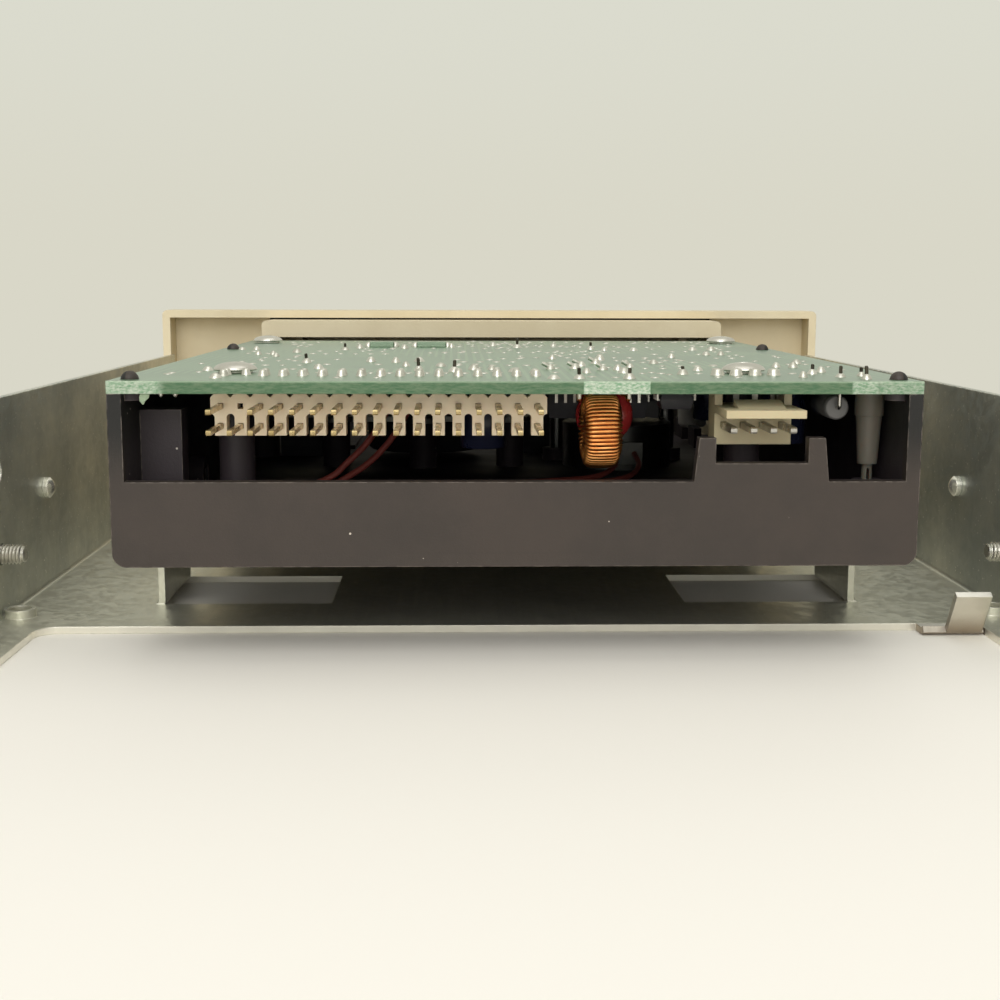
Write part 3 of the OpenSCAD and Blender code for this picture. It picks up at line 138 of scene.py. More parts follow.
def step_up(height, scale):
    """Extrudes the selected top face by a height and scales it about the piece's axis."""
    bpy.ops.mesh.extrude_region_move(TRANSFORM_OT_translate={"value": (0.0, 0.0, height)})
    bpy.ops.transform.resize(value=(scale, scale, 1.0), center_override=(0.0, 0.0, 0.0))


def turned(sections, vertices=32, smooth=40):
    """A turned shape along Z; each section is a height and a radius in millimetres."""
    (low, first), (high, second) = sections[:2]
    bpy.ops.object.select_all(action="DESELECT")
    bpy.ops.mesh.primitive_cylinder_add(vertices=vertices, radius=first * MM, depth=(high - low) * MM,
                                        location=(0.0, 0.0, (low + high) / 2 * MM))
    piece = bpy.context.object
    bpy.ops.object.transform_apply(location=True)
    edit_faces(piece, lambda centre, normal: normal.z > 0.9)
    bpy.ops.transform.resize(value=(second / first, second / first, 1.0), center_override=(0.0, 0.0, 0.0))
    for (z0, r0), (z1, r1) in zip(sections[1:], sections[2:]):
        step_up((z1 - z0) * MM, r1 / r0)
    return close_edit(piece, smooth)


def slab(low, high):
    """A box between two corners in millimetres, as a start for shaping."""
    low, high = Vector(low) * MM, Vector(high) * MM
    bpy.ops.object.select_all(action="DESELECT")
    bpy.ops.mesh.primitive_cube_add(size=1.0, location=(low + high) / 2)
    piece = bpy.context.object
    piece.scale = high - low
    bpy.ops.object.transform_apply(location=True, scale=True)
    return piece


def joined(first, *others):
    """Joins pieces into the first one."""
    take(first)
    for other in others:
        other.select_set(True)
    bpy.ops.object.join()
    return first


def settle(obj, name):
    """Puts the piece's place into its mesh and names it."""
    take(obj)
    bpy.ops.object.transform_apply(location=True, rotation=True, scale=True)
    obj.name = name
    obj.data.name = name
    return obj


def copy_to(template, spot, turn=(0.0, 0.0, 0.0)):
    """A copy with its own mesh, at a spot and turned."""
    copy = template.copy()
    copy.data = template.data.copy()
    scene.collection.objects.link(copy)
    copy.location = spot
    copy.rotation_euler = turn
    return copy


def gather(copies, name, template=None):
    """Joins copies into one piece and drops the template."""
    take(copies[0])
    for copy in copies[1:]:
        copy.select_set(True)
    if len(copies) > 1:
        bpy.ops.object.join()
    if template:
        bpy.data.objects.remove(template)
    return settle(copies[0], name)


def apply_modifier(obj, kind, **settings):
    """Adds a modifier, sets it and applies it."""
    take(obj)
    modifier = obj.modifiers.new(kind.title(), kind)
    for key, value in settings.items():
        setattr(modifier, key, value)
    bpy.ops.object.modifier_apply(modifier=modifier.name)


def add_piece(obj, body, slot, material, *nodes):
    """Rides a piece on its body, gives its finish and says which nodes it stands for."""
    obj.data.materials.clear()
    obj.data.materials.append(material)
    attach(obj, body)
    if nodes:
        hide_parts(*nodes)
    print(obj.name, "on", body, "with", len(obj.data.polygons), "faces")


def wire_curve(name, points, diameter, sides=3):
    """A round wire along points, as a curve with a bevel."""
    curve = bpy.data.curves.new(name, "CURVE")
    curve.dimensions = "3D"
    curve.bevel_depth = diameter / 2
    curve.bevel_resolution = sides
    curve.use_fill_caps = True
    spline = curve.splines.new("POLY")
    spline.points.add(len(points) - 1)
    for spot, point in zip(spline.points, points):
        spot.co = (*point, 1.0)
    obj = bpy.data.objects.new(name, curve)
    scene.collection.objects.link(obj)
    return obj


def wire_mesh(name, points, diameter, sides=3):
    """The same wire as a smooth mesh."""
    obj = take(wire_curve(name, points, diameter, sides))
    bpy.ops.object.convert(target="MESH")
    bpy.ops.object.shade_smooth_by_angle(angle=math.radians(50))
    return obj


print("helpers ready")

# %% [markdown]
# ## Helpers for materials
# All the finishes are built from a few node groups: a moulded grain, a two-tone mottle, loose specks for
# dust and for painted glints, and wear along edges, which also paints a highlight there. Each group reads a
# point in Object coordinates and gives back a colour, a mask or a height. Colours are written as they look on
# a screen, from 0 to 255, and turned linear here.


# %% Material helpers
def tone(red, green, blue):
    """A screen colour as a linear one."""
    def linear(value):
        """One channel, by the screen's own curve."""
        value = value / 255
        return value / 12.92 if value <= 0.04045 else ((value + 0.055) / 1.055) ** 2.4
    return (linear(red), linear(green), linear(blue), 1.0)


def add(tree, kind, **settings):
    """Adds a node; a setting whose name is a socket goes to that socket."""
    node = tree.nodes.new(kind)
    for key, value in settings.items():
        if hasattr(node, key):
            setattr(node, key, value)
        else:
            node.inputs[key.replace("_", " ")].default_value = value
    return node


def math_node(tree, operation, first, second=None):
    """A Math node whose inputs are sockets or plain numbers."""
    node = tree.nodes.new("ShaderNodeMath")
    node.operation = operation
    for socket, value in zip(node.inputs, (first, second)):
        if value is None:
            continue
        if isinstance(value, (int, float)):
            socket.default_value = value
        else:
            tree.links.new(value, socket)
    return node.outputs[0]


def mix_colour(tree, factor, first, second):
    """A colour mix whose inputs are sockets or plain colours."""
    node = tree.nodes.new("ShaderNodeMix")
    node.data_type = "RGBA"
    for socket, value in ((node.inputs[0], factor), (node.inputs[6], first), (node.inputs[7], second)):
        if isinstance(value, (int, float, tuple)):
            socket.default_value = value
        else:
            tree.links.new(value, socket)
    return node.outputs[2]


def between(tree, value, low, high, to_low=0.0, to_high=1.0):
    """A smooth ramp of a value between two limits."""
    node = add(tree, "ShaderNodeMapRange", interpolation_type="SMOOTHSTEP")
    tree.links.new(value, node.inputs[0])
    for index, limit in enumerate((low, high, to_low, to_high), 1):
        node.inputs[index].default_value = limit
    return node.outputs[0]


def split_axes(tree, vector):
    """The three parts of a vector."""
    node = tree.nodes.new("ShaderNodeSeparateXYZ")
    tree.links.new(vector, node.inputs[0])
    return tuple(node.outputs)


def stretched(tree, spot, scale):
    """The point with its axes scaled: a pattern is drawn out along an axis of small scale."""
    node = add(tree, "ShaderNodeMapping", Scale=scale)
    tree.links.new(spot, node.inputs["Vector"])
    return node.outputs[0]


def box_mask(tree, spot, low, high):
    """One inside a box given in metres, nothing outside it."""
    mask = 1.0
    for part, bottom, top in zip(split_axes(tree, spot), low, high):
        above = math_node(tree, "GREATER_THAN", part, bottom)
        below = math_node(tree, "LESS_THAN", part, top)
        mask = math_node(tree, "MULTIPLY", math_node(tree, "MULTIPLY", above, below), mask)
    return mask


def start_group(name, inputs, outputs):
    """An empty node group with named sockets."""
    group = bpy.data.node_groups.new(name, "ShaderNodeTree")
    for label, kind, value in inputs:
        socket = group.interface.new_socket(label, in_out="INPUT", socket_type="NodeSocket" + kind)
        if value is not None:
            socket.default_value = value
    for label, kind in outputs:
        group.interface.new_socket(label, in_out="OUTPUT", socket_type="NodeSocket" + kind)
    return group, group.nodes.new("NodeGroupInput"), group.nodes.new("NodeGroupOutput")


def use_group(tree, group, vector=None, **values):
    """Places a group in a material with its own values."""
    node = tree.nodes.new("ShaderNodeGroup")
    node.node_tree = group
    if vector is not None:
        tree.links.new(vector, node.inputs["Vector"])
    for key, value in values.items():
        node.inputs[key.replace("_", " ")].default_value = value
    return node


print("material helpers ready")

# %% [markdown]
# ## Shared effects
# A moulded plastic has a fine grain from its tool. Sheet metal and old plastic are never one even colour,
# so a slow noise mixes two tones. Dust is a scatter of small dots, each a cell of a Voronoi pattern with
# its own size; on the zinc the same dots are painted glints. Wear, together with a painted highlight along
# edges, shows where the Bevel node's rounded normal turns away from the flat one.


# %% Shared node groups
def grain_group():
    """A moulded grain as a height: one noise with a finer one on top."""
    group, given, result = start_group(
        "Moulded grain", [("Vector", "Vector", None), ("Scale", "Float", 2500.0)], [("Height", "Float")])
    coarse = add(group, "ShaderNodeTexNoise", Detail=2.0)
    fine = add(group, "ShaderNodeTexNoise", Detail=1.0)
    for noise in (coarse, fine):
        group.links.new(given.outputs["Vector"], noise.inputs["Vector"])
    group.links.new(given.outputs["Scale"], coarse.inputs["Scale"])
    group.links.new(math_node(group, "MULTIPLY", given.outputs["Scale"], 2.7), fine.inputs["Scale"])
    half = math_node(group, "MULTIPLY", fine.outputs["Fac"], 0.5)
    group.links.new(math_node(group, "ADD", coarse.outputs["Fac"], half), result.inputs["Height"])
    return group


def mottle_group():
    """Two tones mixed by a slow noise, and the share of the second one."""
    group, given, result = start_group(
        "Two-tone mottle",
        [("Vector", "Vector", None), ("Scale", "Float", 60.0), ("First", "Color", None),
         ("Second", "Color", None)],
        [("Color", "Color"), ("Fac", "Float")])
    noise = add(group, "ShaderNodeTexNoise", Detail=5.0, Roughness=0.62)
    group.links.new(given.outputs["Vector"], noise.inputs["Vector"])
    group.links.new(given.outputs["Scale"], noise.inputs["Scale"])
    share = between(group, noise.outputs["Fac"], 0.3, 0.7)
    colour = mix_colour(group, share, given.outputs["First"], given.outputs["Second"])
    group.links.new(colour, result.inputs["Color"])
    group.links.new(share, result.inputs["Fac"])
    return group


# The dots are dust on the plastic and painted glints on the zinc.
def speck_group():
    """A mask of small round dots, most of them too small to show."""
    group, given, result = start_group(
        "Dust specks and painted glints",
        [("Vector", "Vector", None), ("Scale", "Float", 300.0), ("Size", "Float", 0.12)], [("Mask", "Float")])
    cells = add(group, "ShaderNodeTexVoronoi")
    group.links.new(given.outputs["Vector"], cells.inputs["Vector"])
    group.links.new(given.outputs["Scale"], cells.inputs["Scale"])
    channels = add(group, "ShaderNodeSeparateColor")
    group.links.new(cells.outputs["Color"], channels.inputs[0])
    chance = math_node(group, "POWER", channels.outputs[0], 6.0)
    reach = math_node(group, "MULTIPLY", chance, given.outputs["Size"])
    mask = math_node(group, "LESS_THAN", cells.outputs["Distance"], reach)
    group.links.new(mask, result.inputs["Mask"])
    return group


# Its mask marks edges for wear and for a painted highlight.
def wear_and_highlight_group():
    """A broken mask along edges, where the rounded normal leaves the flat one."""
    group, given, result = start_group(
        "Edge wear",
        [("Vector", "Vector", None), ("Radius", "Float", 0.0003), ("Break up", "Float", 900.0)],
        [("Mask", "Float")])
    bevel = add(group, "ShaderNodeBevel", samples=4)
    group.links.new(given.outputs["Radius"], bevel.inputs["Radius"])
    flat = add(group, "ShaderNodeNewGeometry")
    dot = add(group, "ShaderNodeVectorMath", operation="DOT_PRODUCT")
    group.links.new(bevel.outputs[0], dot.inputs[0])
    group.links.new(flat.outputs["Normal"], dot.inputs[1])
    leaning = math_node(group, "SUBTRACT", 1.0, dot.outputs["Value"])
    noise = add(group, "ShaderNodeTexNoise", Detail=3.0)
    group.links.new(given.outputs["Vector"], noise.inputs["Vector"])
    group.links.new(given.outputs["Break up"], noise.inputs["Scale"])
    patchy = between(group, noise.outputs["Fac"], 0.35, 0.62)
    edge = between(group, leaning, 0.02, 0.14)
    group.links.new(math_node(group, "MULTIPLY", edge, patchy), result.inputs["Mask"])
    return group


GRAIN = grain_group()
MOTTLE = mottle_group()
SPECKS = speck_group()
WEAR_AND_HIGHLIGHT = wear_and_highlight_group()
print("node groups", [group.name for group in bpy.data.node_groups])

# %% [markdown]
# ## Finishes
# A small class would hide what the nodes do, so each finish is a short function. They share a start: a
# material with a Principled shader, Object coordinates, and a Bump node on a slightly rounded normal, as
# every moulded or pressed edge is rounded and catches a thin line of light.


# %% A material to start from
def start_finish(name, roughness, metallic=0.0, edge=0.00015, **constants):
    """A Principled material; returns its tree, shader, Object coordinates and Bump node."""
    material = bpy.data.materials.new(name)
    material.use_nodes = True
    tree = material.node_tree
    shader = tree.nodes["Principled BSDF"]
    shader.inputs["Roughness"].default_value = roughness
    shader.inputs["Metallic"].default_value = metallic
    for key, value in constants.items():
        shader.inputs[key.replace("_", " ")].default_value = value
    spot = tree.nodes.new("ShaderNodeTexCoord").outputs["Object"]
    bump = add(tree, "ShaderNodeBump", Strength=0.3, Distance=0.0001)
    if edge:
        bevel = add(tree, "ShaderNodeBevel", samples=4, Radius=edge)
        tree.links.new(bevel.outputs[0], bump.inputs["Normal"])
    tree.links.new(bump.outputs[0], shader.inputs["Normal"])
    return material, tree, shader, spot, bump


def grained(tree, bump, spot, scale, strength):
    """Feeds the moulded grain to a Bump node."""
    texture = use_group(tree, GRAIN, spot, Scale=scale)
    tree.links.new(texture.outputs["Height"], bump.inputs["Height"])
    bump.inputs["Strength"].default_value = strength


def plastic(name, first, second, roughness, grain=2500.0, depth=0.25, worn_and_highlit=None, dust=None, seam=None,
            inside=None, painted_side_shade=None, **constants):
    """Moulded plastic: two tones and a grain; if given, a seam, painted light and shade, rubbed and highlit
    edges, dust.
    """
    material, tree, shader, spot, bump = start_finish(name, roughness, **constants)
    mottle = use_group(tree, MOTTLE, spot, Scale=70.0, First=first, Second=second)
    colour = mottle.outputs["Color"]
    if seam:
        height = split_axes(tree, spot)[2]
        off = math_node(tree, "ABSOLUTE", math_node(tree, "SUBTRACT", height, seam))
        line = between(tree, off, 0.05 * MM, 0.2 * MM, 0.3, 0.0)
        colour = mix_colour(tree, line, colour, second)
    # A box painted with its own tone: painted light inside the tray, painted shade inside the bezel.
    if inside:
        low, high, dark = inside
        colour = mix_colour(tree, box_mask(tree, spot, low, high), colour, dark)
    # Painted shade: beyond a given width the colour darkens towards the top, standing in for the board's
    # shadow.
    if painted_side_shade:
        low, high, dark = painted_side_shade
        axes = split_axes(tree, spot)
        post = math_node(tree, "GREATER_THAN", math_node(tree, "ABSOLUTE", axes[0]), low.x)
        risen = between(tree, axes[2], low.z, high.z)
        colour = mix_colour(tree, math_node(tree, "MULTIPLY", post, risen), colour, dark)
    # Edges lighten, partly as wear and partly as a painted highlight.
    if worn_and_highlit:
        wear_and_highlight = use_group(tree, WEAR_AND_HIGHLIGHT, spot, Radius=0.00025)
        colour = mix_colour(tree, wear_and_highlight.outputs["Mask"], colour, worn_and_highlit)
    if dust:
        specks = use_group(tree, SPECKS, spot, Scale=430.0, Size=0.08)
        colour = mix_colour(tree, specks.outputs["Mask"], colour, dust)
    tree.links.new(colour, shader.inputs["Base Color"])
    rough = between(tree, mottle.outputs["Fac"], 0.0, 1.0, roughness - 0.05, roughness + 0.07)
    tree.links.new(rough, shader.inputs["Roughness"])
    grained(tree, bump, spot, grain, depth)
    return material


def metal(name, first, second, roughness, scale=220.0, grain=1800.0, depth=0.08, stretch=None, edge=0.00012):
    """Plain metal with a slow change of tone and roughness; stretch draws the grain out along an axis."""
    material, tree, shader, spot, bump = start_finish(name, roughness, metallic=1.0, edge=edge)
    mottle = use_group(tree, MOTTLE, spot, Scale=scale, First=first, Second=second)
    tree.links.new(mottle.outputs["Color"], shader.inputs["Base Color"])
    rough = between(tree, mottle.outputs["Fac"], 0.0, 1.0, roughness - 0.06, roughness + 0.1)
    tree.links.new(rough, shader.inputs["Roughness"])
    grained(tree, bump, stretched(tree, spot, stretch) if stretch else spot, grain, depth)
    return material


print("finish helpers ready")

# %% [markdown]
# ## Galvanised sheet
# The frame is zinc coated steel. Zinc freezes in flat crystals, the spangle, here about a millimetre
# wide, each a little lighter and smoother than the next, and small bright specks paint the glints of a
# few of them. Handling has dulled the walls in soft blotches, and the rolling left fine streaks from back
# to front. Edges lighten as wear and as a painted highlight. Sheared edges are bare steel, painted brighter
# still as a highlight, and the dimples get a painted highlight too. The bent finger at the rear is painted
# with light and shade: darker low down, lighter higher up, and brightest where its faces look up. Masks
# pick these places out by where a point is and by which way its face looks. The left side is folded on to
# the right one, so that one box serves both.

# %% Places on the frame
WALL_INSIDE = 71.7
SHEET_TOP = 1.05
BASE_PLATE = (place(-1.0, -20.0, -1.0), place(WALL_INSIDE, 160.0, SHEET_TOP))
DIMPLE = (place(68.0, 43.5, 14.4), place(71.9, 47.5, 18.4))
FINGER = (place(56.5, 4.0, -1.0), place(65.5, 16.95, 14.0))
FINGER_RISE = (0.6 * MM, 4.0 * MM)


def sheet_places(tree, spot):
    """Masks of the frame's walls, sheared edges, dimples and finger, and the finger's painted light and
    shade.
    """
    axes = split_axes(tree, spot)
    side = math_node(tree, "ABSOLUTE", axes[0])
    folded = tree.nodes.new("ShaderNodeCombineXYZ")
    for value, socket in zip((side, axes[1], axes[2]), folded.inputs):
        tree.links.new(value, socket)
    looks_up = split_axes(tree, tree.nodes.new("ShaderNodeNewGeometry").outputs["Normal"])[2]
    upright = between(tree, math_node(tree, "ABSOLUTE", looks_up), 0.2, 0.5, 1.0, 0.0)
    wall = math_node(tree, "GREATER_THAN", side, WALL_INSIDE * MM)
    sheared = math_node(tree, "MULTIPLY", upright, box_mask(tree, folded.outputs[0], *BASE_PLATE))
    dimple = box_mask(tree, folded.outputs[0], *DIMPLE)
    finger = box_mask(tree, spot, *FINGER)
    # Painted light and shade on the finger: darker low down, lighter higher up, and a painted highlight where
    # a face looks up.
    finger_painted_light = mix_colour(tree, between(tree, axes[2], *FINGER_RISE), tone(150, 135, 116), tone(210, 204, 190))
    finger_painted_light = mix_colour(tree, between(tree, looks_up, 0.55, 0.8), finger_painted_light, tone(252, 248, 240))
    return wall, sheared, dimple, finger, finger_painted_light


print("walls beyond", WALL_INSIDE, "mm, sheet up to", SHEET_TOP, "mm")

# %% [markdown]
# The colour then goes on in layers, from the zinc up: the crystals' own tones, the handling on the walls,
# the streaks, the edges, the painted highlights, and the finger's painted light and shade last. Each layer
# is one mix, so that its strength can be set by itself.


# %% Galvanised sheet
def galvanised_sheet():
    """Zinc coated steel with spangle, blotches, streaks, rubbed edges, painted highlights and painted light.
    """
    material, tree, shader, spot, bump = start_finish("galvanised_sheet", 0.45, metallic=0.8, edge=0.0002)
    wall, sheared, dimple, finger, finger_painted_light = sheet_places(tree, spot)
    crystals = add(tree, "ShaderNodeTexVoronoi", Scale=900.0, Randomness=1.0)
    warp = add(tree, "ShaderNodeTexNoise", Scale=160.0, Detail=3.0)
    tree.links.new(spot, warp.inputs["Vector"])
    push = add(tree, "ShaderNodeVectorMath", operation="MULTIPLY_ADD")
    tree.links.new(warp.outputs["Color"], push.inputs[0])
    push.inputs[1].default_value = (0.0015, 0.0015, 0.0015)
    tree.links.new(spot, push.inputs[2])
    tree.links.new(push.outputs[0], crystals.inputs["Vector"])
    channels = add(tree, "ShaderNodeSeparateColor")
    tree.links.new(crystals.outputs["Color"], channels.inputs[0])
    smudge = use_group(tree, MOTTLE, spot, Scale=26.0, First=tone(226, 224, 208), Second=tone(208, 207, 192))
    share = math_node(tree, "MULTIPLY", channels.outputs[0], 0.14)
    colour = mix_colour(tree, share, smudge.outputs["Color"], tone(222, 224, 214))
    blotches = use_group(tree, MOTTLE, spot, Scale=24.0)
    handled = math_node(tree, "MULTIPLY", wall, math_node(tree, "MULTIPLY", blotches.outputs["Fac"], 0.75))
    colour = mix_colour(tree, handled, colour, tone(126, 137, 138))
    streaks = use_group(tree, MOTTLE, stretched(tree, spot, (1.0, 0.04, 1.0)), Scale=900.0)
    dull = math_node(tree, "MULTIPLY", streaks.outputs["Fac"], 0.1)
    colour = mix_colour(tree, dull, colour, tone(150, 150, 136))
    # Edges lighten, partly as bare worn steel and partly as a painted highlight.
    wear_and_highlight = use_group(tree, WEAR_AND_HIGHLIGHT, spot, Radius=0.0004, Break_up=500.0)
    colour = mix_colour(tree, wear_and_highlight.outputs["Mask"], colour, tone(246, 242, 230))
    # Painted highlights: bright specks as glints of the crystals, the dimples, and the sheared edges, which
    # are also bare steel.
    glints = use_group(tree, SPECKS, spot, Scale=1500.0, Size=0.22)
    bare_and_painted_highlight = math_node(tree, "MAXIMUM", math_node(tree, "MAXIMUM", glints.outputs["Mask"], dimple), sheared)
    colour = mix_colour(tree, math_node(tree, "MULTIPLY", bare_and_painted_highlight, 0.7), colour, tone(250, 246, 234))
    # The finger takes its painted light and shade.
    colour = mix_colour(tree, math_node(tree, "MULTIPLY", finger, 0.9), colour, finger_painted_light)
    tree.links.new(colour, shader.inputs["Base Color"])
    rough = between(tree, channels.outputs[1], 0.0, 1.0, 0.32, 0.46)
    rough = math_node(tree, "SUBTRACT", rough, math_node(tree, "MULTIPLY", dimple, 0.2))
    tree.links.new(rough, shader.inputs["Roughness"])
    grained(tree, bump, spot, 700.0, 0.12)
    return material


galvanised = galvanised_sheet()
print("made", galvanised.name)

# %% [markdown]
# ## Circuit board
# The board lies solder side up. Its top is green lacquer over copper, so runs of track show through as
# lighter lines; seen low, the lacquer mirrors the pale room. Its sawn edges are bare glass fibre, drawn
# here as noise pulled out along the edge, with whiter patches where it was snapped from its panel.

# %% Tracks on the board
TRACK_PITCH = 1.27


def track_mask(tree, spot):
    """Runs of parallel tracks: a coarse block pattern picks each run's direction and width."""
    blocks = add(tree, "ShaderNodeTexVoronoi", distance="MANHATTAN", Scale=58.0)
    tree.links.new(spot, blocks.inputs["Vector"])
    pick = add(tree, "ShaderNodeSeparateColor")
    tree.links.new(blocks.outputs["Color"], pick.inputs[0])
    axes = split_axes(tree, spot)
    across = math_node(tree, "GREATER_THAN", pick.outputs[0], 0.45)
    along = math_node(tree, "SUBTRACT", 1.0, across)
    run_x = math_node(tree, "MULTIPLY", axes[0], across)
    run_y = math_node(tree, "MULTIPLY", axes[1], along)
    run = math_node(tree, "ADD", run_x, run_y)
    pitch = math_node(tree, "FRACT", math_node(tree, "DIVIDE", run, TRACK_PITCH * MM))
    width = between(tree, pick.outputs[1], 0.0, 1.0, 0.22, 0.5)
    line = math_node(tree, "LESS_THAN", pitch, width)
    live = math_node(tree, "GREATER_THAN", pick.outputs[2], 0.22)
    return math_node(tree, "MULTIPLY", line, live)


print("tracks", TRACK_PITCH, "mm apart")

# %% [markdown]
# The top and the edges of the board are one node, so the way a face looks tells them apart. Each snapped
# stretch of the rear edge has a start and an end in X, a share of torn fibre, and a length over which it
# fades.

# %% Circuit board
SNAPPED = [(-52.0, -43.4, 0.55, 1.6), (8.1, 16.5, 0.7, 0.1), (41.6, 45.2, 0.5, 0.4), (44.8, 52.0, 0.38, 0.6)]


def lacquered_board():
    """Green lacquer with tracks on the flat faces, glass fibre on the sawn edges."""
    material, tree, shader, spot, bump = start_finish("lacquered_board", 0.45, Coat_Roughness=0.3)
    normal = tree.nodes.new("ShaderNodeTexCoord").outputs["Normal"]
    flat = math_node(tree, "GREATER_THAN", math_node(tree, "ABSOLUTE", split_axes(tree, normal)[2]), 0.5)
    tracks = track_mask(tree, spot)
    lacquer = use_group(tree, MOTTLE, spot, Scale=45.0, First=tone(64, 104, 72), Second=tone(74, 115, 79))
    tracked = math_node(tree, "MULTIPLY", tracks, 0.75)
    top = mix_colour(tree, tracked, lacquer.outputs["Color"], tone(102, 140, 98))

    fibre = use_group(tree, MOTTLE, stretched(tree, spot, (0.35, 0.35, 1.6)), Scale=2600.0,
                      First=tone(66, 100, 70), Second=tone(98, 120, 92))
    axes = split_axes(tree, spot)
    snapped = 0.0
    for left, right, share, fade in SNAPPED:
        begun = between(tree, axes[0], left * MM, (left + fade) * MM)
        ended = between(tree, axes[0], (right - fade) * MM, right * MM, 1.0, 0.0)
        stretch = math_node(tree, "MULTIPLY", math_node(tree, "MULTIPLY", begun, ended), share)
        snapped = math_node(tree, "ADD", stretch, snapped)
    torn = use_group(tree, MOTTLE, stretched(tree, spot, (0.6, 1.0, 1.3)), Scale=3200.0,
                     First=tone(122, 164, 128), Second=tone(222, 228, 210))
    edge = mix_colour(tree, snapped, fibre.outputs["Color"], torn.outputs["Color"])
    # A painted highlight: the sawn edge turns paler just under the top face.
    rim = between(tree, axes[2], BOARD_TOP - 0.3 * MM, BOARD_TOP - 0.05 * MM, 0.0, 0.45)
    edge = mix_colour(tree, rim, edge, tone(186, 204, 178))
    tree.links.new(mix_colour(tree, flat, edge, top), shader.inputs["Base Color"])
    tree.links.new(between(tree, flat, 0.0, 1.0, 0.75, 0.42), shader.inputs["Roughness"])
    tree.links.new(math_node(tree, "MULTIPLY", flat, 0.8), shader.inputs["Coat Weight"])
    rough_edge = math_node(tree, "MULTIPLY", fibre.outputs["Fac"], math_node(tree, "SUBTRACT", 1.0, flat))
    height = math_node(tree, "ADD", math_node(tree, "MULTIPLY", tracks, 0.25), rough_edge)
    tree.links.new(height, bump.inputs["Height"])
    bump.inputs["Strength"].default_value = 0.5
    return material


board_finish = lacquered_board()
print("made", board_finish.name)

# %% [markdown]
# ## Header pins
# The pins are plated gold where a plug meets them and tinned where they are soldered. One node holds both
# ends, so the plating changes along Y, just behind the cream insulator.


# %% Plated pins
def plated_pins():
    """Gold plating outside the insulator, tin inside it."""
    material, tree, shader, spot, bump = start_finish("plated_pins", 0.24, metallic=1.0, edge=0.00006)
    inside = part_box("data_header")[1].y
    soldered = between(tree, split_axes(tree, spot)[1], inside - 0.5 * MM, inside + 0.5 * MM)
    gold = use_group(tree, MOTTLE, spot, Scale=500.0, First=tone(214, 194, 148), Second=tone(176, 154, 108))
    tin = use_group(tree, MOTTLE, spot, Scale=500.0, First=tone(206, 203, 196), Second=tone(160, 157, 150))
    colour = mix_colour(tree, soldered, gold.outputs["Color"], tin.outputs["Color"])
    tree.links.new(colour, shader.inputs["Base Color"])
    tree.links.new(between(tree, gold.outputs["Fac"], 0.0, 1.0, 0.18, 0.34), shader.inputs["Roughness"])
    grained(tree, bump, spot, 3000.0, 0.06)
    return material


pin_finish = plated_pins()
print("made", pin_finish.name)
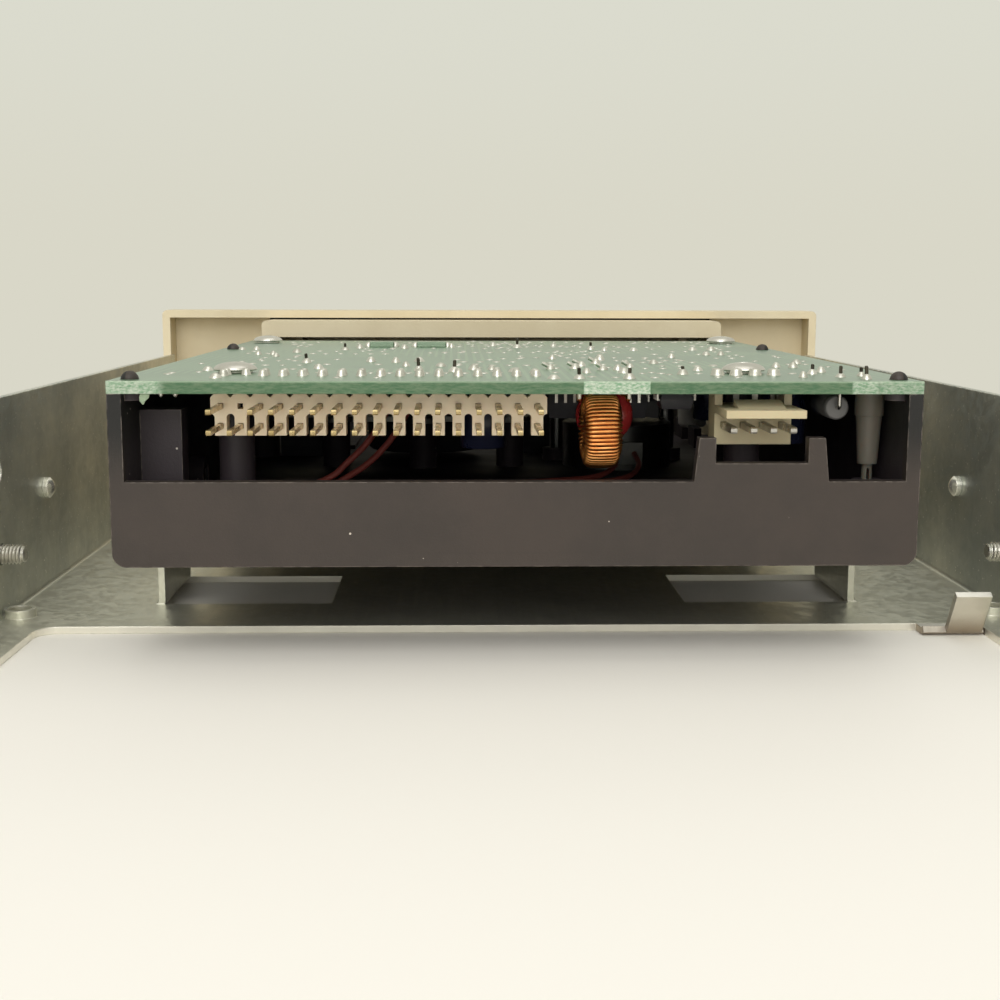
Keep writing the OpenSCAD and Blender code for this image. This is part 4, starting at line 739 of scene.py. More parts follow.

# %% [markdown]
# ## The other finishes
# The rest are variations of the plastic and metal starts with their own tones, roughness and grain. The
# names are the slots of the record, so that every CAD node can take the finish of its slot in one loop;
# solder, cut wire, torn fibre and the gap's dark strip serve only pieces that are modelled here. The power
# connector has a finish of its own, a darker copy of the header's nylon that paints its shade. Inside the
# tray the black turns a purplish tone, about as light as outside, that stands in for the dim light under
# the board; the tray's sides are painted darker towards the top as shade; and inside the drive's bezel the
# beige is painted dark as its shade.

# %% Finishes by slot
finish = {
    "galvanised": galvanised,
    "circuit_board": board_finish,
    "gold_pins": pin_finish,
    # Painted shade: inside the drive's bezel the beige turns dark.
    "beige_plastic": plastic("beige_moulding", tone(220, 207, 174), tone(212, 198, 164), 0.52, grain=2200.0,
                             depth=0.22, worn_and_highlit=tone(222, 211, 182),
                             inside=(place(-48.6, 140.5, 13.6), place(48.6, 155.2, 34.0), tone(38, 36, 34))),
    # Painted light: inside the tray a purplish tone for the dim light there. Painted shade: the sides darken
    # upwards.
    "black_plastic": plastic("charcoal_moulding", tone(57, 48, 42), tone(51, 44, 39), 0.52, grain=2600.0,
                             depth=0.3, worn_and_highlit=tone(122, 112, 103), dust=tone(196, 186, 172),
                             seam=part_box("chassis")[0].z + 1.75 * MM,
                             inside=(place(-49.1, 1.6, 14.0), place(49.1, 139.0, 34.4), tone(55, 48, 51)),
                             painted_side_shade=(place(48.9, 0.0, 22.0), place(50.8, 0.0, 31.0), tone(18, 17, 16))),
    "header_nylon": plastic("cream_nylon", tone(240, 222, 194), tone(232, 212, 182), 0.42, grain=3200.0,
                            depth=0.1, Subsurface_Weight=0.06, Subsurface_Scale=0.001),
    # A darker copy of the header's nylon: painted shade for the power connector.
    "painted_shade_nylon": plastic("painted_shade_nylon", tone(190, 177, 143), tone(180, 167, 132), 0.42, grain=3200.0,
                          depth=0.1, Subsurface_Weight=0.06, Subsurface_Scale=0.001),
    "chip_black": plastic("chip_moulding", tone(58, 57, 60), tone(48, 47, 50), 0.56, grain=3800.0, depth=0.3),
    "grey_nylon": plastic("grey_nylon", tone(114, 108, 96), tone(101, 96, 85), 0.4, grain=2000.0,
                          depth=0.08, Subsurface_Weight=0.3, Subsurface_Scale=0.002),
    "grey_sleeve": plastic("grey_sleeve", tone(132, 130, 128), tone(118, 116, 114), 0.36, grain=1500.0,
                           depth=0.08, Coat_Weight=0.2),
    "can_sleeve": plastic("shrink_sleeve", tone(38, 42, 66), tone(32, 36, 58), 0.32, grain=1500.0, depth=0.06,
                          Coat_Weight=0.3),
    "red_epoxy": plastic("dipped_epoxy", tone(184, 54, 52), tone(156, 43, 42), 0.28, grain=900.0, depth=0.12,
                         Coat_Weight=0.5),
    "led_lens": plastic("diffused_lens", tone(128, 176, 96), tone(112, 160, 84), 0.22, grain=1200.0,
                        depth=0.04, Transmission_Weight=0.25),
    "wire_red": plastic("wire_insulation", tone(172, 86, 74), tone(148, 72, 62), 0.4, grain=1800.0,
                        depth=0.08),
    "hub_plastic": plastic("acetal_hub", tone(196, 191, 178), tone(186, 181, 168), 0.4, grain=2200.0,
                           depth=0.1),
    "tyre_rubber": plastic("ground_rubber", tone(46, 45, 45), tone(38, 37, 37), 0.8, grain=4000.0,
                           depth=0.45),
    "carriage_plastic": plastic("filled_nylon", tone(70, 70, 73), tone(60, 60, 63), 0.5, grain=2600.0,
                                depth=0.2),
    "roller_acetal": plastic("white_acetal", tone(226, 223, 212), tone(216, 213, 202), 0.35, grain=2400.0,
                             depth=0.08),
    "ferrite": plastic("coated_core", tone(92, 88, 64), tone(74, 70, 50), 0.6, grain=2500.0, depth=0.4),
    "torn_fibre": plastic("torn_fibre", tone(176, 184, 160), tone(132, 150, 122), 0.75, grain=5200.0,
                          depth=0.5),
    # A dark strip in the bezels' gap: painted shade.
    "painted_gap_shade": plastic("painted_gap_shade", tone(58, 52, 44), tone(44, 40, 34), 0.95, grain=6000.0, depth=0.6),
    "screw_steel": metal("zinc_plating", tone(228, 225, 217), tone(204, 200, 192), 0.3),
    "solder": metal("solder", tone(224, 222, 213), tone(194, 192, 181), 0.36, scale=500.0, edge=0),
    "cut_wire": metal("cut_wire", tone(96, 90, 80), tone(66, 62, 55), 0.45, edge=0),
    "tinned_pins": metal("tinned_brass", tone(214, 211, 205), tone(186, 183, 177), 0.26, edge=0.00006),
    "copper_wire": metal("enamelled_copper", tone(250, 182, 112), tone(232, 152, 84), 0.34, scale=420.0,
                         edge=0),
    "crystal_steel": metal("drawn_can", tone(206, 205, 202), tone(190, 189, 186), 0.22),
    "spring_steel": metal("drawn_wire", tone(176, 176, 174), tone(150, 150, 148), 0.28, edge=0),
    "motor_steel": metal("motor_can", tone(182, 182, 180), tone(164, 164, 162), 0.34,
                         stretch=(1.0, 1.0, 0.1)),
    "bracket_steel": metal("pressed_sheet", tone(186, 186, 182), tone(168, 168, 164), 0.36,
                           stretch=(0.15, 1.0, 1.0)),
    "shaft_steel": metal("ground_shaft", tone(204, 204, 204), tone(188, 188, 188), 0.18,
                         stretch=(1.0, 1.0, 8.0)),
    "head_metal": metal("lapped_head", tone(196, 190, 178), tone(182, 176, 164), 0.15),
}
for subpart in frame["record"]["subparts"]:
    node = frame["nodes"][subpart["node"]]
    node.data.materials.clear()
    node.data.materials.append(finish[subpart["material_slot"]])
# The power housing takes the darker nylon, painted shade for its face under the tongue.
frame["nodes"]["power_housing"].data.materials[0] = finish["painted_shade_nylon"]
print("finishes", len(finish))

# %% [markdown]
# ## Stepper wires
# Two red wires run from the stepper's lead block along the tray's floor, under the header, and up to the
# board, where they are soldered. They are limp cords held at both ends, so they lie on the floor except
# where they rise. Their points are those of the source, joined by the same smooth curve.

# %% Stepper wires
WIRE = 1.0
STEP = 1.0
floor_z = FLOOR_TOP / MM
board_z = BOARD_LOW / MM
wire_exit = 75.95
wire_rest = floor_z + WIRE / 2 + 0.15
wire_routes = {
    "stepper_wire_near": [
        (20, wire_exit, floor_z + 3.3), (20, wire_exit - 5, floor_z + 1.9), (16, wire_exit - 11, wire_rest),
        (6, 59, wire_rest), (-8, 53.5, wire_rest), (-22, 49.5, wire_rest), (-31, 46, wire_rest),
        (-35.4, 41, wire_rest + 0.2), (-32.5, 36.8, floor_z + 2.2), (-27, 38, floor_z + 4.2),
        (-24.6, 38.5, floor_z + 6.2), (-21, 39.5, floor_z + 9.8), (-18, 41, floor_z + 14.8),
        (-17, 42.2, floor_z + 18), (-17, 42.2, board_z)],
    "stepper_wire_far": [
        (24, wire_exit, floor_z + 3.3), (24, wire_exit - 6, floor_z + 1.7), (20.5, wire_exit - 13, wire_rest),
        (10, 54.5, wire_rest), (-4, 50.5, wire_rest), (-22, 46.2, wire_rest), (-28, 44.9, wire_rest),
        (-30.6, 42.5, floor_z + 1.1), (-28.2, 40.1, floor_z + 2.2), (-24, 41, floor_z + 4.2),
        (-20.8, 42, floor_z + 6.4), (-17.6, 43, floor_z + 9.9), (-15, 44, floor_z + 14.3),
        (-13.5, 45, floor_z + 18), (-13.5, 45, board_z)],
}


def smooth_route(points, step):
    """Points of a Catmull-Rom curve, about a step apart."""
    path = []
    for i in range(len(points) - 1):
        a, b, c, d = (Vector(points[min(max(k, 0), len(points) - 1)]) for k in (i - 1, i, i + 1, i + 2))
        count = max(1, round((c - b).length / step))
        for k in range(count):
            t = k / count
            bend = 2 * a - 5 * b + 4 * c - d + t * (3 * (b - c) + d - a)
            path.append(b + 0.5 * t * (c - a + t * bend))
    path.append(Vector(points[-1]))
    return path


def route_length(path):
    """The length along a path's points."""
    return sum((b - a).length for a, b in zip(path, path[1:]))


for name, points in wire_routes.items():
    path = [place(*point) for point in smooth_route(points, STEP)]
    wire = wire_curve(name, path, WIRE * MM, 4)
    wire.data.materials.append(finish["wire_red"])
    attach(wire, "drive")
    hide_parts("stepper_wires")
    print(name, round(route_length(path) / MM, 1), "mm long")

# %% [markdown]
# ## Inductor winding
# The ring core carries one layer of enamelled copper that sits tight outside. Inside the ring there is
# less room, so every second turn rides over its neighbours. Each turn is a rounded rectangle round the
# core's section, and the wire steps on to the next turn inside the ring. The winding is open at the top,
# and from there its two ends run down beside the ring and up into the board, one at each side.

# %% Inductor winding
COIL_CENTRE = place(11.21, 9.4, 29.1)
COIL_WIRE = 0.47
COIL_TURNS = 50
COIL_SWEEP = 330
COIL_OUTER = 4.8
COIL_INNER = 2.7
COIL_HALF = 2.1
COIL_CORNER = 0.8
COIL_INNER_CORNER = 0.6
COIL_LIFT = 0.36


def turn_section(odd):
    """One turn as (radius, place along the axis, share of the step to the next turn)."""
    lift = COIL_LIFT if odd else 0.0
    inner = COIL_INNER - lift
    side = COIL_HALF + lift
    flat = COIL_HALF - COIL_CORNER
    corner = COIL_INNER_CORNER
    section = [(COIL_OUTER, -flat, 0.0), (COIL_OUTER + 0.04, 0.0, 0.08), (COIL_OUTER, flat, 0.15)]
    for angle in (30, 60, 90):
        turn = math.radians(angle)
        section.append((COIL_OUTER - COIL_CORNER + COIL_CORNER * math.cos(turn),
                        flat + COIL_CORNER * math.sin(turn), 0.15))
    bends = [((90, 135, 180), side - corner, 0.3), ((180, 225, 270), corner - side, 0.85)]
    for angles, end, advance in bends:
        for angle in angles:
            turn = math.radians(angle)
            section.append((inner + corner + corner * math.cos(turn), end + corner * math.sin(turn), advance))
    for angle in (270, 300, 330):
        turn = math.radians(angle)
        section.append((COIL_OUTER - COIL_CORNER + COIL_CORNER * math.cos(turn),
                        -flat + COIL_CORNER * math.sin(turn), 1.0))
    return section


def coil_point(radius, along, angle):
    """A point round the ring's axis, which runs along X."""
    return COIL_CENTRE + Vector((along, radius * math.sin(angle), radius * math.cos(angle))) * MM


random.seed(7)
coil_path = []
for turn in range(COIL_TURNS):
    uneven = random.uniform(-0.05, 0.05)
    for radius, along, advance in turn_section(turn % 2 == 1):
        swept = COIL_SWEEP * (turn + uneven + advance) / COIL_TURNS
        coil_path.append(coil_point(radius, along, math.radians(180 - COIL_SWEEP / 2 + swept)))
top = (BOARD_LOW - COIL_CENTRE.z) / MM
lead_in = [(-3.2, -4.4, top), (-3.2, -4.4, 4.6), (-3.2, -4.0, 4.2), (-3.15, -2.4, 4.4), (-3.0, -0.6, 4.75),
           (-2.1, 0.7, 4.9)]
lead_out = [(-1.0, -0.6, 4.9), (0.8, -0.2, 4.95), (2.3, -0.6, 4.9), (3.0, -1.4, 4.7), (3.15, -2.6, 4.4),
            (3.2, -4.0, 4.2), (3.2, -4.4, 4.6), (3.2, -4.4, top)]
lead_in = [COIL_CENTRE + Vector(point) * MM for point in lead_in]
lead_out = [COIL_CENTRE + Vector(point) * MM for point in lead_out]
coil_leads = [lead_in[0], lead_out[-1]]
coil_path = lead_in + coil_path + lead_out
winding = settle(wire_mesh("winding_wire", coil_path, COIL_WIRE * MM, 2), "winding_wire")
add_piece(winding, "drive", "copper_wire", finish["copper_wire"], "inductor_winding")

# %% [markdown]
# ## Springs
# The door's return spring and the two latch springs are plain helices of drawn wire with a straight
# start and a leg. The source holds them with few facets; here the same path is drawn with a round wire.

# %% Springs
LATCH_SPRING = {"radius": 2.3, "turns": 3, "pitch": 0.95, "stub": 0.6, "leg": 6.0}
LATCH_SPRING_WIRE = 0.5
LATCH_PIVOT = (45.4, 101.0)
DOOR_SPRING = {"radius": 1.35, "turns": 6, "pitch": 0.85, "stub": 0.6, "leg": 4.0}
DOOR_SPRING_WIRE = 0.4
DOOR_SPRING_X = -37


def spring_path(radius, turns, pitch, stub, leg):
    """A helix up Z with a straight stub below it and a leg along Y at its end."""
    points = [Vector((radius, 0.0, -stub))]
    steps = 24
    for k in range(steps * turns + 1):
        angle = 2 * math.pi * k / steps
        points.append(Vector((radius * math.cos(angle), radius * math.sin(angle), pitch * k / steps)))
    points.append(Vector((radius, leg / 2, pitch * turns)))
    points.append(Vector((radius, leg, pitch * turns)))
    return points


latch_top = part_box("latch_lever_right")[1].z
for side, name in ((-1, "left"), (1, "right")):
    x, y = LATCH_PIVOT
    foot = Vector((side * x * MM, place(x, y).y, latch_top + LATCH_SPRING["stub"] * MM))
    path = [foot + Vector((side * p.x, p.y, p.z)) * MM for p in spring_path(**LATCH_SPRING)]
    title = "latch_spring_wire_" + name
    spring = settle(wire_mesh(title, path, LATCH_SPRING_WIRE * MM), title)
    add_piece(spring, "latch_" + name, "spring_steel", finish["spring_steel"], "latch_spring_" + name)

door_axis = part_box("door_pin")
door_y = (door_axis[0].y + door_axis[1].y) / 2
door_z = (door_axis[0].z + door_axis[1].z) / 2
path = []
for p in spring_path(**DOOR_SPRING):
    path.append(Vector((DOOR_SPRING_X * MM + p.z * MM, door_y - p.x * MM, door_z - p.y * MM)))
door_spring = settle(wire_mesh("door_spring_wire", path, DOOR_SPRING_WIRE * MM), "door_spring_wire")
for corner, node_corner in zip((0, 6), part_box("door_spring")):
    print("door spring corner", [round(v / MM, 2) for v in door_spring.bound_box[corner]],
          "its node's", [round(v / MM, 2) for v in node_corner])
add_piece(door_spring, "door", "spring_steel", finish["spring_steel"], "door_spring")

# %% [markdown]
# ## Screws
# The frame's screws are zinc plated pan heads with a cross recess. The head is a cylinder whose top face
# is stepped up into a dome; the cross is cut with two crossed bars; the thread is a small triangle wound
# round a core with the Screw modifier. One screw of each kind is modelled and then copied.


# %% Screw parts
def pan_head(radius, height, recess, rim):
    """A domed head on Z = 0; rim is its straight part, recess the cross's share of its width."""
    sections = [(0.0, radius * 0.97), (rim - 0.08, radius * 0.98), (rim, radius)]
    steps = 7
    for k in range(1, steps):
        angle = math.pi / 2 * k / steps
        sections.append((rim + (height - rim) * math.sin(angle), radius * math.cos(angle)))
    head = turned(sections, 40, 35)
    arm = 0.16
    for width, length in ((arm, recess), (recess, arm)):
        corner = Vector((radius * width, radius * length, 0.0))
        bar = slab(Vector((0.0, 0.0, height * 0.4)) - corner, Vector((0.0, 0.0, height * 1.6)) + corner)
        edit_faces(bar, lambda centre, normal: normal.z < -0.9)
        bpy.ops.transform.resize(value=(0.7, 0.7, 1.0), center_override=(0.0, 0.0, 0.0))
        close_edit(bar)
        apply_modifier(head, "BOOLEAN", operation="DIFFERENCE", object=bar, solver="EXACT")
        bpy.data.objects.remove(bar)
    return head


def thread_ridge(radius, pitch, lead, length):
    """A triangle wound down from Z = 0 with the Screw modifier."""
    bpy.ops.object.select_all(action="DESELECT")
    bpy.ops.mesh.primitive_circle_add(vertices=3, radius=pitch * 0.5 * MM)
    ridge = bpy.context.object
    ridge.rotation_euler = (math.pi / 2, math.pi / 2, 0.0)
    bpy.ops.object.transform_apply(rotation=True)
    outermost = max(vertex.co.x for vertex in ridge.data.vertices)
    ridge.location = (radius * MM - outermost, 0.0, -pitch * 0.55 * MM)
    bpy.ops.object.transform_apply(location=True)
    turns = (length - 1.1 * pitch) / lead
    steps = int(22 * turns)
    apply_modifier(ridge, "SCREW", axis="Z", angle=2 * math.pi * turns, screw_offset=-lead * turns * MM,
                   iterations=1, steps=steps, render_steps=steps, use_smooth_shade=False)
    take(ridge)
    bpy.ops.object.mode_set(mode="EDIT")
    bpy.ops.mesh.select_all(action="SELECT")
    bpy.ops.mesh.fill_holes(sides=4)
    bpy.ops.mesh.normals_make_consistent(inside=False)
    return close_edit(ridge, 30)


def threaded_shank(radius, pitch, length, starts=1):
    """A core with one or more wound ridges, from Z = 0 down."""
    inner = radius - pitch * 0.6
    core = turned([(-length - 0.15, inner - 0.2), (-length, inner), (0.0, inner)], 24, 35)
    ridges = [thread_ridge(radius, pitch, pitch * starts, length)]
    for k in range(1, starts):
        ridges.append(copy_to(ridges[0], (0.0, 0.0, 0.0), (0.0, 0.0, 2 * math.pi * k / starts)))
    return joined(core, *ridges)


def cross_screw(head_radius, head_height, radius, pitch, length, recess=0.6, rim=0.6):
    """A whole screw: the head's seat is at Z = 0 and the shank goes down."""
    return joined(pan_head(head_radius, head_height, recess, rim), threaded_shank(radius, pitch, length))


print("screw helpers ready")

# %% [markdown]
# The four kinds differ in length and in where they sit. The screws that hold the drive go in through the
# tabs, those of the bezel and the bay through the frame's walls, all turned to point inwards.


# %% Frame screws
def side_screws(name, node, shank, spots):
    """Copies one screw to spots on the right side and mirrored spots on the left."""
    template = cross_screw(head_radius=2.7, head_height=1.4, radius=1.45, pitch=0.5, length=shank)
    copies = []
    for x, y, z in spots:
        for side in (-1, 1):
            outward = Vector((side, 0.0, 0.0)).to_track_quat("Z", "Y")
            aim = outward @ Quaternion((0.0, 0.0, 1.0), side * y)
            copies.append(copy_to(template, place(side * x, y, z), aim.to_euler()))
    piece = gather(copies, name, template)
    add_piece(piece, "drive", "screw_steel", finish["screw_steel"], node)


FRAME_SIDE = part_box("mounting_frame")[1].x / MM
TAB_SIDE = 51.85
side_screws("bay_screws_threaded", "bay_side_screws", 4.2, [(FRAME_SIDE, 23.4, 10.0)])
side_screws("drive_screws_threaded", "drive_screws", 5.5, [(TAB_SIDE, 41.0, 19.05), (TAB_SIDE, 111.0, 19.05)])
side_screws("bezel_screws_threaded", "bezel_screws", 3.4, [(FRAME_SIDE, 144.0, 20.0)])

# %% [markdown]
# The board's own screws stand upright: a wide, low dome on a narrow collar, so a dark line shows under
# the head. Three more hold the motor's bracket.

# %% Board and bracket screws
BOARD_SCREWS = [(-37.44, 16.5), (31.31, 16.5), (-46.0, 114.0), (46.0, 114.0)]
BRACKET_SCREWS = [(-30.0, 86.0), (2.0, 86.0), (-14.0, 83.5)]
COLLAR = 0.35


def upright_screws(name, node, template, spots, height):
    """Copies one screw to spots at a height, each turned differently."""
    copies = [copy_to(template, place(x, y, height), (0.0, 0.0, 0.7 * x)) for x, y in spots]
    piece = gather(copies, name, template)
    add_piece(piece, "drive", "screw_steel", finish["screw_steel"], node)


board_screw = cross_screw(head_radius=2.9, head_height=1.15, radius=1.2, pitch=0.45, length=5.8,
                          recess=0.3, rim=0.14)
board_screw.location = (0.0, 0.0, COLLAR * MM)
bpy.ops.object.transform_apply(location=True)
joined(board_screw, turned([(0.0, 2.2), (0.06, 2.3), (COLLAR, 2.3)]))
upright_screws("board_screws_crossed", "board_screws", board_screw, BOARD_SCREWS, BOARD_TOP / MM)
bracket_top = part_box("motor_bracket")[1].z / MM
bracket_screw = cross_screw(head_radius=2.7, head_height=1.4, radius=1.15, pitch=0.45, length=4.8)
upright_screws("bracket_screws_crossed", "bracket_screws", bracket_screw, BRACKET_SCREWS, bracket_top)

# %% [markdown]
# ## Lead screw
# The stepper lifts the head four millimetres a turn, with five threads side by side. The ends that run in
# the motor and in the bridge are plain, so the piece is two turned journals with a threaded length between
# them. It turns with the rotor.

# %% Lead screw
LIFT_SPOT = (22.0, 88.0)
LIFT_RADIUS = 1.5
LIFT_PITCH = 0.8
LIFT_STARTS = 5
THREAD_ABOVE_FLOOR = 8.6
THREAD_BELOW_TOP = 1.6
low, high = (corner.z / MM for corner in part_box("lead_screw"))
thread_low = floor_z + THREAD_ABOVE_FLOOR
thread_high = high - THREAD_BELOW_TOP
thread = threaded_shank(LIFT_RADIUS, LIFT_PITCH, thread_high - thread_low, LIFT_STARTS)
thread.location = (0.0, 0.0, thread_high * MM)
foot = turned([(low, LIFT_RADIUS - 0.3), (low + 0.3, LIFT_RADIUS), (thread_low - 0.3, LIFT_RADIUS),
               (thread_low, LIFT_RADIUS - 0.45)])
head = turned([(thread_high, LIFT_RADIUS - 0.45), (thread_high + 0.3, LIFT_RADIUS),
               (high - 0.3, LIFT_RADIUS), (high, LIFT_RADIUS - 0.3)])
take(thread)
bpy.ops.object.transform_apply(location=True)
joined(thread, foot, head)
thread.location = place(*LIFT_SPOT)
settle(thread, "lead_screw_threaded")
add_piece(thread, "stepper_rotor", "shaft_steel", finish["shaft_steel"], "lead_screw")

# %% [markdown]
# ## Parts under the board
# The board's parts hang below it, so from behind their lower sides show in the dark of the tray. Chips
# have a body with drafted sides, drawn out from a thin slab at the mould's parting line, and legs bent
# from strip. A chip is written down as its place, its width, length and thickness, and how many legs stand
# on each of its sides that look along Y and along X.


# %% Chips and their legs
def chip_body(width, length, thickness):
    """A moulded body hanging from Z = 0, widest at its parting line."""
    middle = -thickness / 2
    body = slab((-width / 2, -length / 2, middle - 0.05), (width / 2, length / 2, middle + 0.05))
    draft = 1 - 0.6 / min(width, length)
    for up in (1, -1):
        edit_faces(body, lambda centre, normal: normal.z * up > 0.9)
        step_up(up * (thickness / 2 - 0.05) * MM, draft)
    close_edit(body)
    apply_modifier(body, "BEVEL", width=0.06 * MM, segments=2, limit_method="ANGLE")
    bpy.ops.object.shade_smooth_by_angle(angle=math.radians(35))
    return body


def chip_leg(drop):
    """A leg for the body's +Y side: out at the parting line, then up to the board at Z = 0."""
    leg = slab((-0.21, -0.15, -drop - 0.1), (0.21, 0.14, -drop + 0.1))
    edit_faces(leg, lambda centre, normal: normal.y > 0.9)
    bpy.ops.mesh.extrude_region_move(TRANSFORM_OT_translate={"value": (0.0, 0.24 * MM, 0.0)})
    close_edit(leg)
    edit_faces(leg, lambda centre, normal: normal.z > 0.9 and centre.y > 0.2 * MM)
    bpy.ops.mesh.extrude_region_move(TRANSFORM_OT_translate={"value": (0.0, 0.0, (drop - 0.12) * MM)})
    return close_edit(leg)


CHIP_FOOT = 0.3
CHIPS = [
    (11.8, 25.5, 14.0, 11.4, 4.6, 10, 7),
    (-24.0, 58.0, 16.5, 16.5, 3.8, 7, 7),
    (4.0, 62.0, 20.0, 14.0, 2.4, 10, 7),
    (-34.0, 36.0, 10.2, 7.4, 2.3, 5, 0),
    (33.0, 46.0, 17.8, 7.4, 2.3, 7, 0),
    (21.21, 11.5, 4.4, 5.0, 2.4, 0, 4),
]
chip_bodies = []
chip_legs = []
for x, y, width, length, thickness, across, along in CHIPS:
    body = chip_body(width, length, thickness)
    body.location = place(x, y, board_z - CHIP_FOOT)
    chip_bodies.append(body)
    leg = chip_leg(CHIP_FOOT + thickness / 2)
    for side in (1, -1):
        for k in range(across):
            spot = place(x + (k - (across - 1) / 2) * width / (across + 1), y + side * length / 2, board_z)
            chip_legs.append(copy_to(leg, spot, (0.0, 0.0, 0.0 if side > 0 else math.pi)))
        for k in range(along):
            spot = place(x + side * width / 2, y + (k - (along - 1) / 2) * length / (along + 1), board_z)
            chip_legs.append(copy_to(leg, spot, (0.0, 0.0, -side * math.pi / 2)))
    bpy.data.objects.remove(leg)
bodies = gather(chip_bodies, "chip_bodies")
add_piece(bodies, "drive", "chip_black", finish["chip_black"], "board_chips", "edge_chip")
legs = gather(chip_legs, "chip_legs")
add_piece(legs, "drive", "tinned_pins", finish["tinned_pins"], "board_chips", "edge_chip")

# %% [markdown]
# The cans wear a shrink sleeve that is rolled in at both ends and nipped above the crimp. Their bare ends
# are scored with a cross, along which a can that fails opens. Both are turned, and two thin bars cut the
# cross.

# %% Sleeved cans
CANS = [(-40.0, 66.0), (36.0, 66.0), (40.0, 30.0), (-4.0, 24.0)]
sleeve = turned([(-9.36, 2.6), (-9.3, 3.0), (-9.1, 3.15), (-2.2, 3.15), (-1.9, 2.95), (-1.5, 2.95),
                 (-1.2, 3.15), (-0.45, 3.15), (-0.2, 2.9)])
sleeves = gather([copy_to(sleeve, place(x, y, board_z)) for x, y in CANS], "can_sleeves", sleeve)
add_piece(sleeves, "drive", "can_sleeve", finish["can_sleeve"], "electrolytic_caps")
can_end = turned([(-9.4, 2.45), (-9.3, 2.5)])
for width, length in ((0.12, 2.0), (2.0, 0.12)):
    score = slab((-width, -length, -9.6), (width, length, -9.36))
    apply_modifier(can_end, "BOOLEAN", operation="DIFFERENCE", object=score, solver="EXACT")
    bpy.data.objects.remove(score)
can_ends = gather([copy_to(can_end, place(x, y, board_z)) for x, y in CANS], "can_ends", can_end)
add_piece(can_ends, "drive", "crystal_steel", finish["crystal_steel"], "electrolytic_caps")

# %% [markdown]
# One capacitor lies along Y with its end to the rear. It is a sleeve, nipped near that end, and two leads
# that leave along its axis and turn up into the board.

# %% End-on capacitor
AXIAL = (42.45, 9.5, board_z - 2.5)
AXIAL_LENGTH = 8.0
AXIAL_LEAD = 0.55
axial = turned([(0.0, 1.1), (0.08, 1.42), (0.4, 1.65), (1.2, 1.65), (1.4, 1.54), (1.7, 1.54), (1.9, 1.65),
                (AXIAL_LENGTH - 0.4, 1.65), (AXIAL_LENGTH - 0.08, 1.42), (AXIAL_LENGTH, 1.1)])
axial.location = place(*AXIAL)
axial.rotation_euler = (-math.pi / 2, 0.0, 0.0)
settle(axial, "axial_capacitor_sleeve")
add_piece(axial, "drive", "grey_sleeve", finish["grey_sleeve"], "axial_capacitor")


def bent_lead(name, start, out):
    """A lead that leaves along Y and turns up into the board."""
    x, y, z = start
    straight = 0.6
    bend = 0.5
    points = [(x, y, z), (x, y + out * straight, z)]
    for angle in (30, 60, 90):
        turn = math.radians(angle)
        points.append((x, y + out * (straight + bend * math.sin(turn)), z + bend * (1 - math.cos(turn))))
    points.append((x, y + out * (straight + bend), board_z))
    return wire_mesh(name, [place(*point) for point in points], AXIAL_LEAD * MM)


AXIAL_FAR = (AXIAL[0], AXIAL[1] + AXIAL_LENGTH, AXIAL[2])
lead_pair = [bent_lead("axial_lead", AXIAL, -1), bent_lead("axial_lead", AXIAL_FAR, 1)]
axial_leads = gather(lead_pair, "axial_leads")
add_piece(axial_leads, "drive", "tinned_pins", finish["tinned_pins"], "axial_capacitor")

# %% [markdown]
# The red disc was dipped in epoxy, which runs up its leads in two necks. It is a turned lens laid on its
# side, joined to two turned necks that taper towards the board.

# %% Dipped disc
DISC = (12.42, 16.8, 30.4)
DISC_LEADS = [(9.97, 16.8), (15.05, 16.8)]
fuse = turned([(-1.5, 1.6), (-1.35, 2.5), (-0.95, 3.3), (-0.4, 3.8), (0.0, 3.93), (0.4, 3.8), (0.95, 3.3),
               (1.35, 2.5), (1.5, 1.6)], 40, 60)
fuse.location = place(*DISC)
fuse.rotation_euler = (-math.pi / 2, 0.0, 0.0)
necks = []
for x, y in DISC_LEADS:
    neck = turned([(32.2, 0.75), (33.2, 0.6), (34.0, 0.36), (board_z, 0.32)], 16, 60)
    neck.location = place(x, y)
    necks.append(neck)
dipped = joined(fuse, *necks)
add_piece(settle(dipped, "dipped_disc"), "drive", "red_epoxy", finish["red_epoxy"], "dipped_fuse")

# %% [markdown]
# ## Solder
# Every lead that comes through the board ends in solder. The header's and the power connector's pins
# stand in small pointed cones; larger leads have rounder blobs, some with a dark cut end standing out,
# and some leads were bent over before soldering. The rest of the board is surface parts and vias, which
# leave low pads that hardly rise above the lacquer. One of each kind is turned and copied.

# %% Places of the leads
PITCH = 2.54
HEADER_X = -37.9
HEADER_COLUMNS = 17
HEADER_ROWS = (9.7, 12.24)
NO_PIN = (1, 0)
POWER = (30.71, 12.0)
POWER_PITCH = 2.5
LED_LEADS = [(45.96, 122.75), (47.24, 122.75)]
pin_spots = []
for column in range(HEADER_COLUMNS):
    for row, y in enumerate(HEADER_ROWS):
        if (column, row) != NO_PIN:
            pin_spots.append((HEADER_X + column * PITCH, y))
power_spots = [(POWER[0] + (column - 1.5) * POWER_PITCH, POWER[1]) for column in range(4)]
wire_spots = [route[-1][:2] for route in wire_routes.values()]
coil_spots = [(lead.x / MM, (lead.y - REAR) / MM) for lead in coil_leads]
standing_leads = coil_spots + [(-30.5, 41.3), (-12.9, 20.7), (-8.0, 19.3), (22.6, 13.8), (40.2, 14.4),
                               (45.7, 10.3), (AXIAL[0], 8.4), (44.7, 4.2), (-28.0, 83.6), (3.6, 93.7),
                               (16.9, 86.6)]
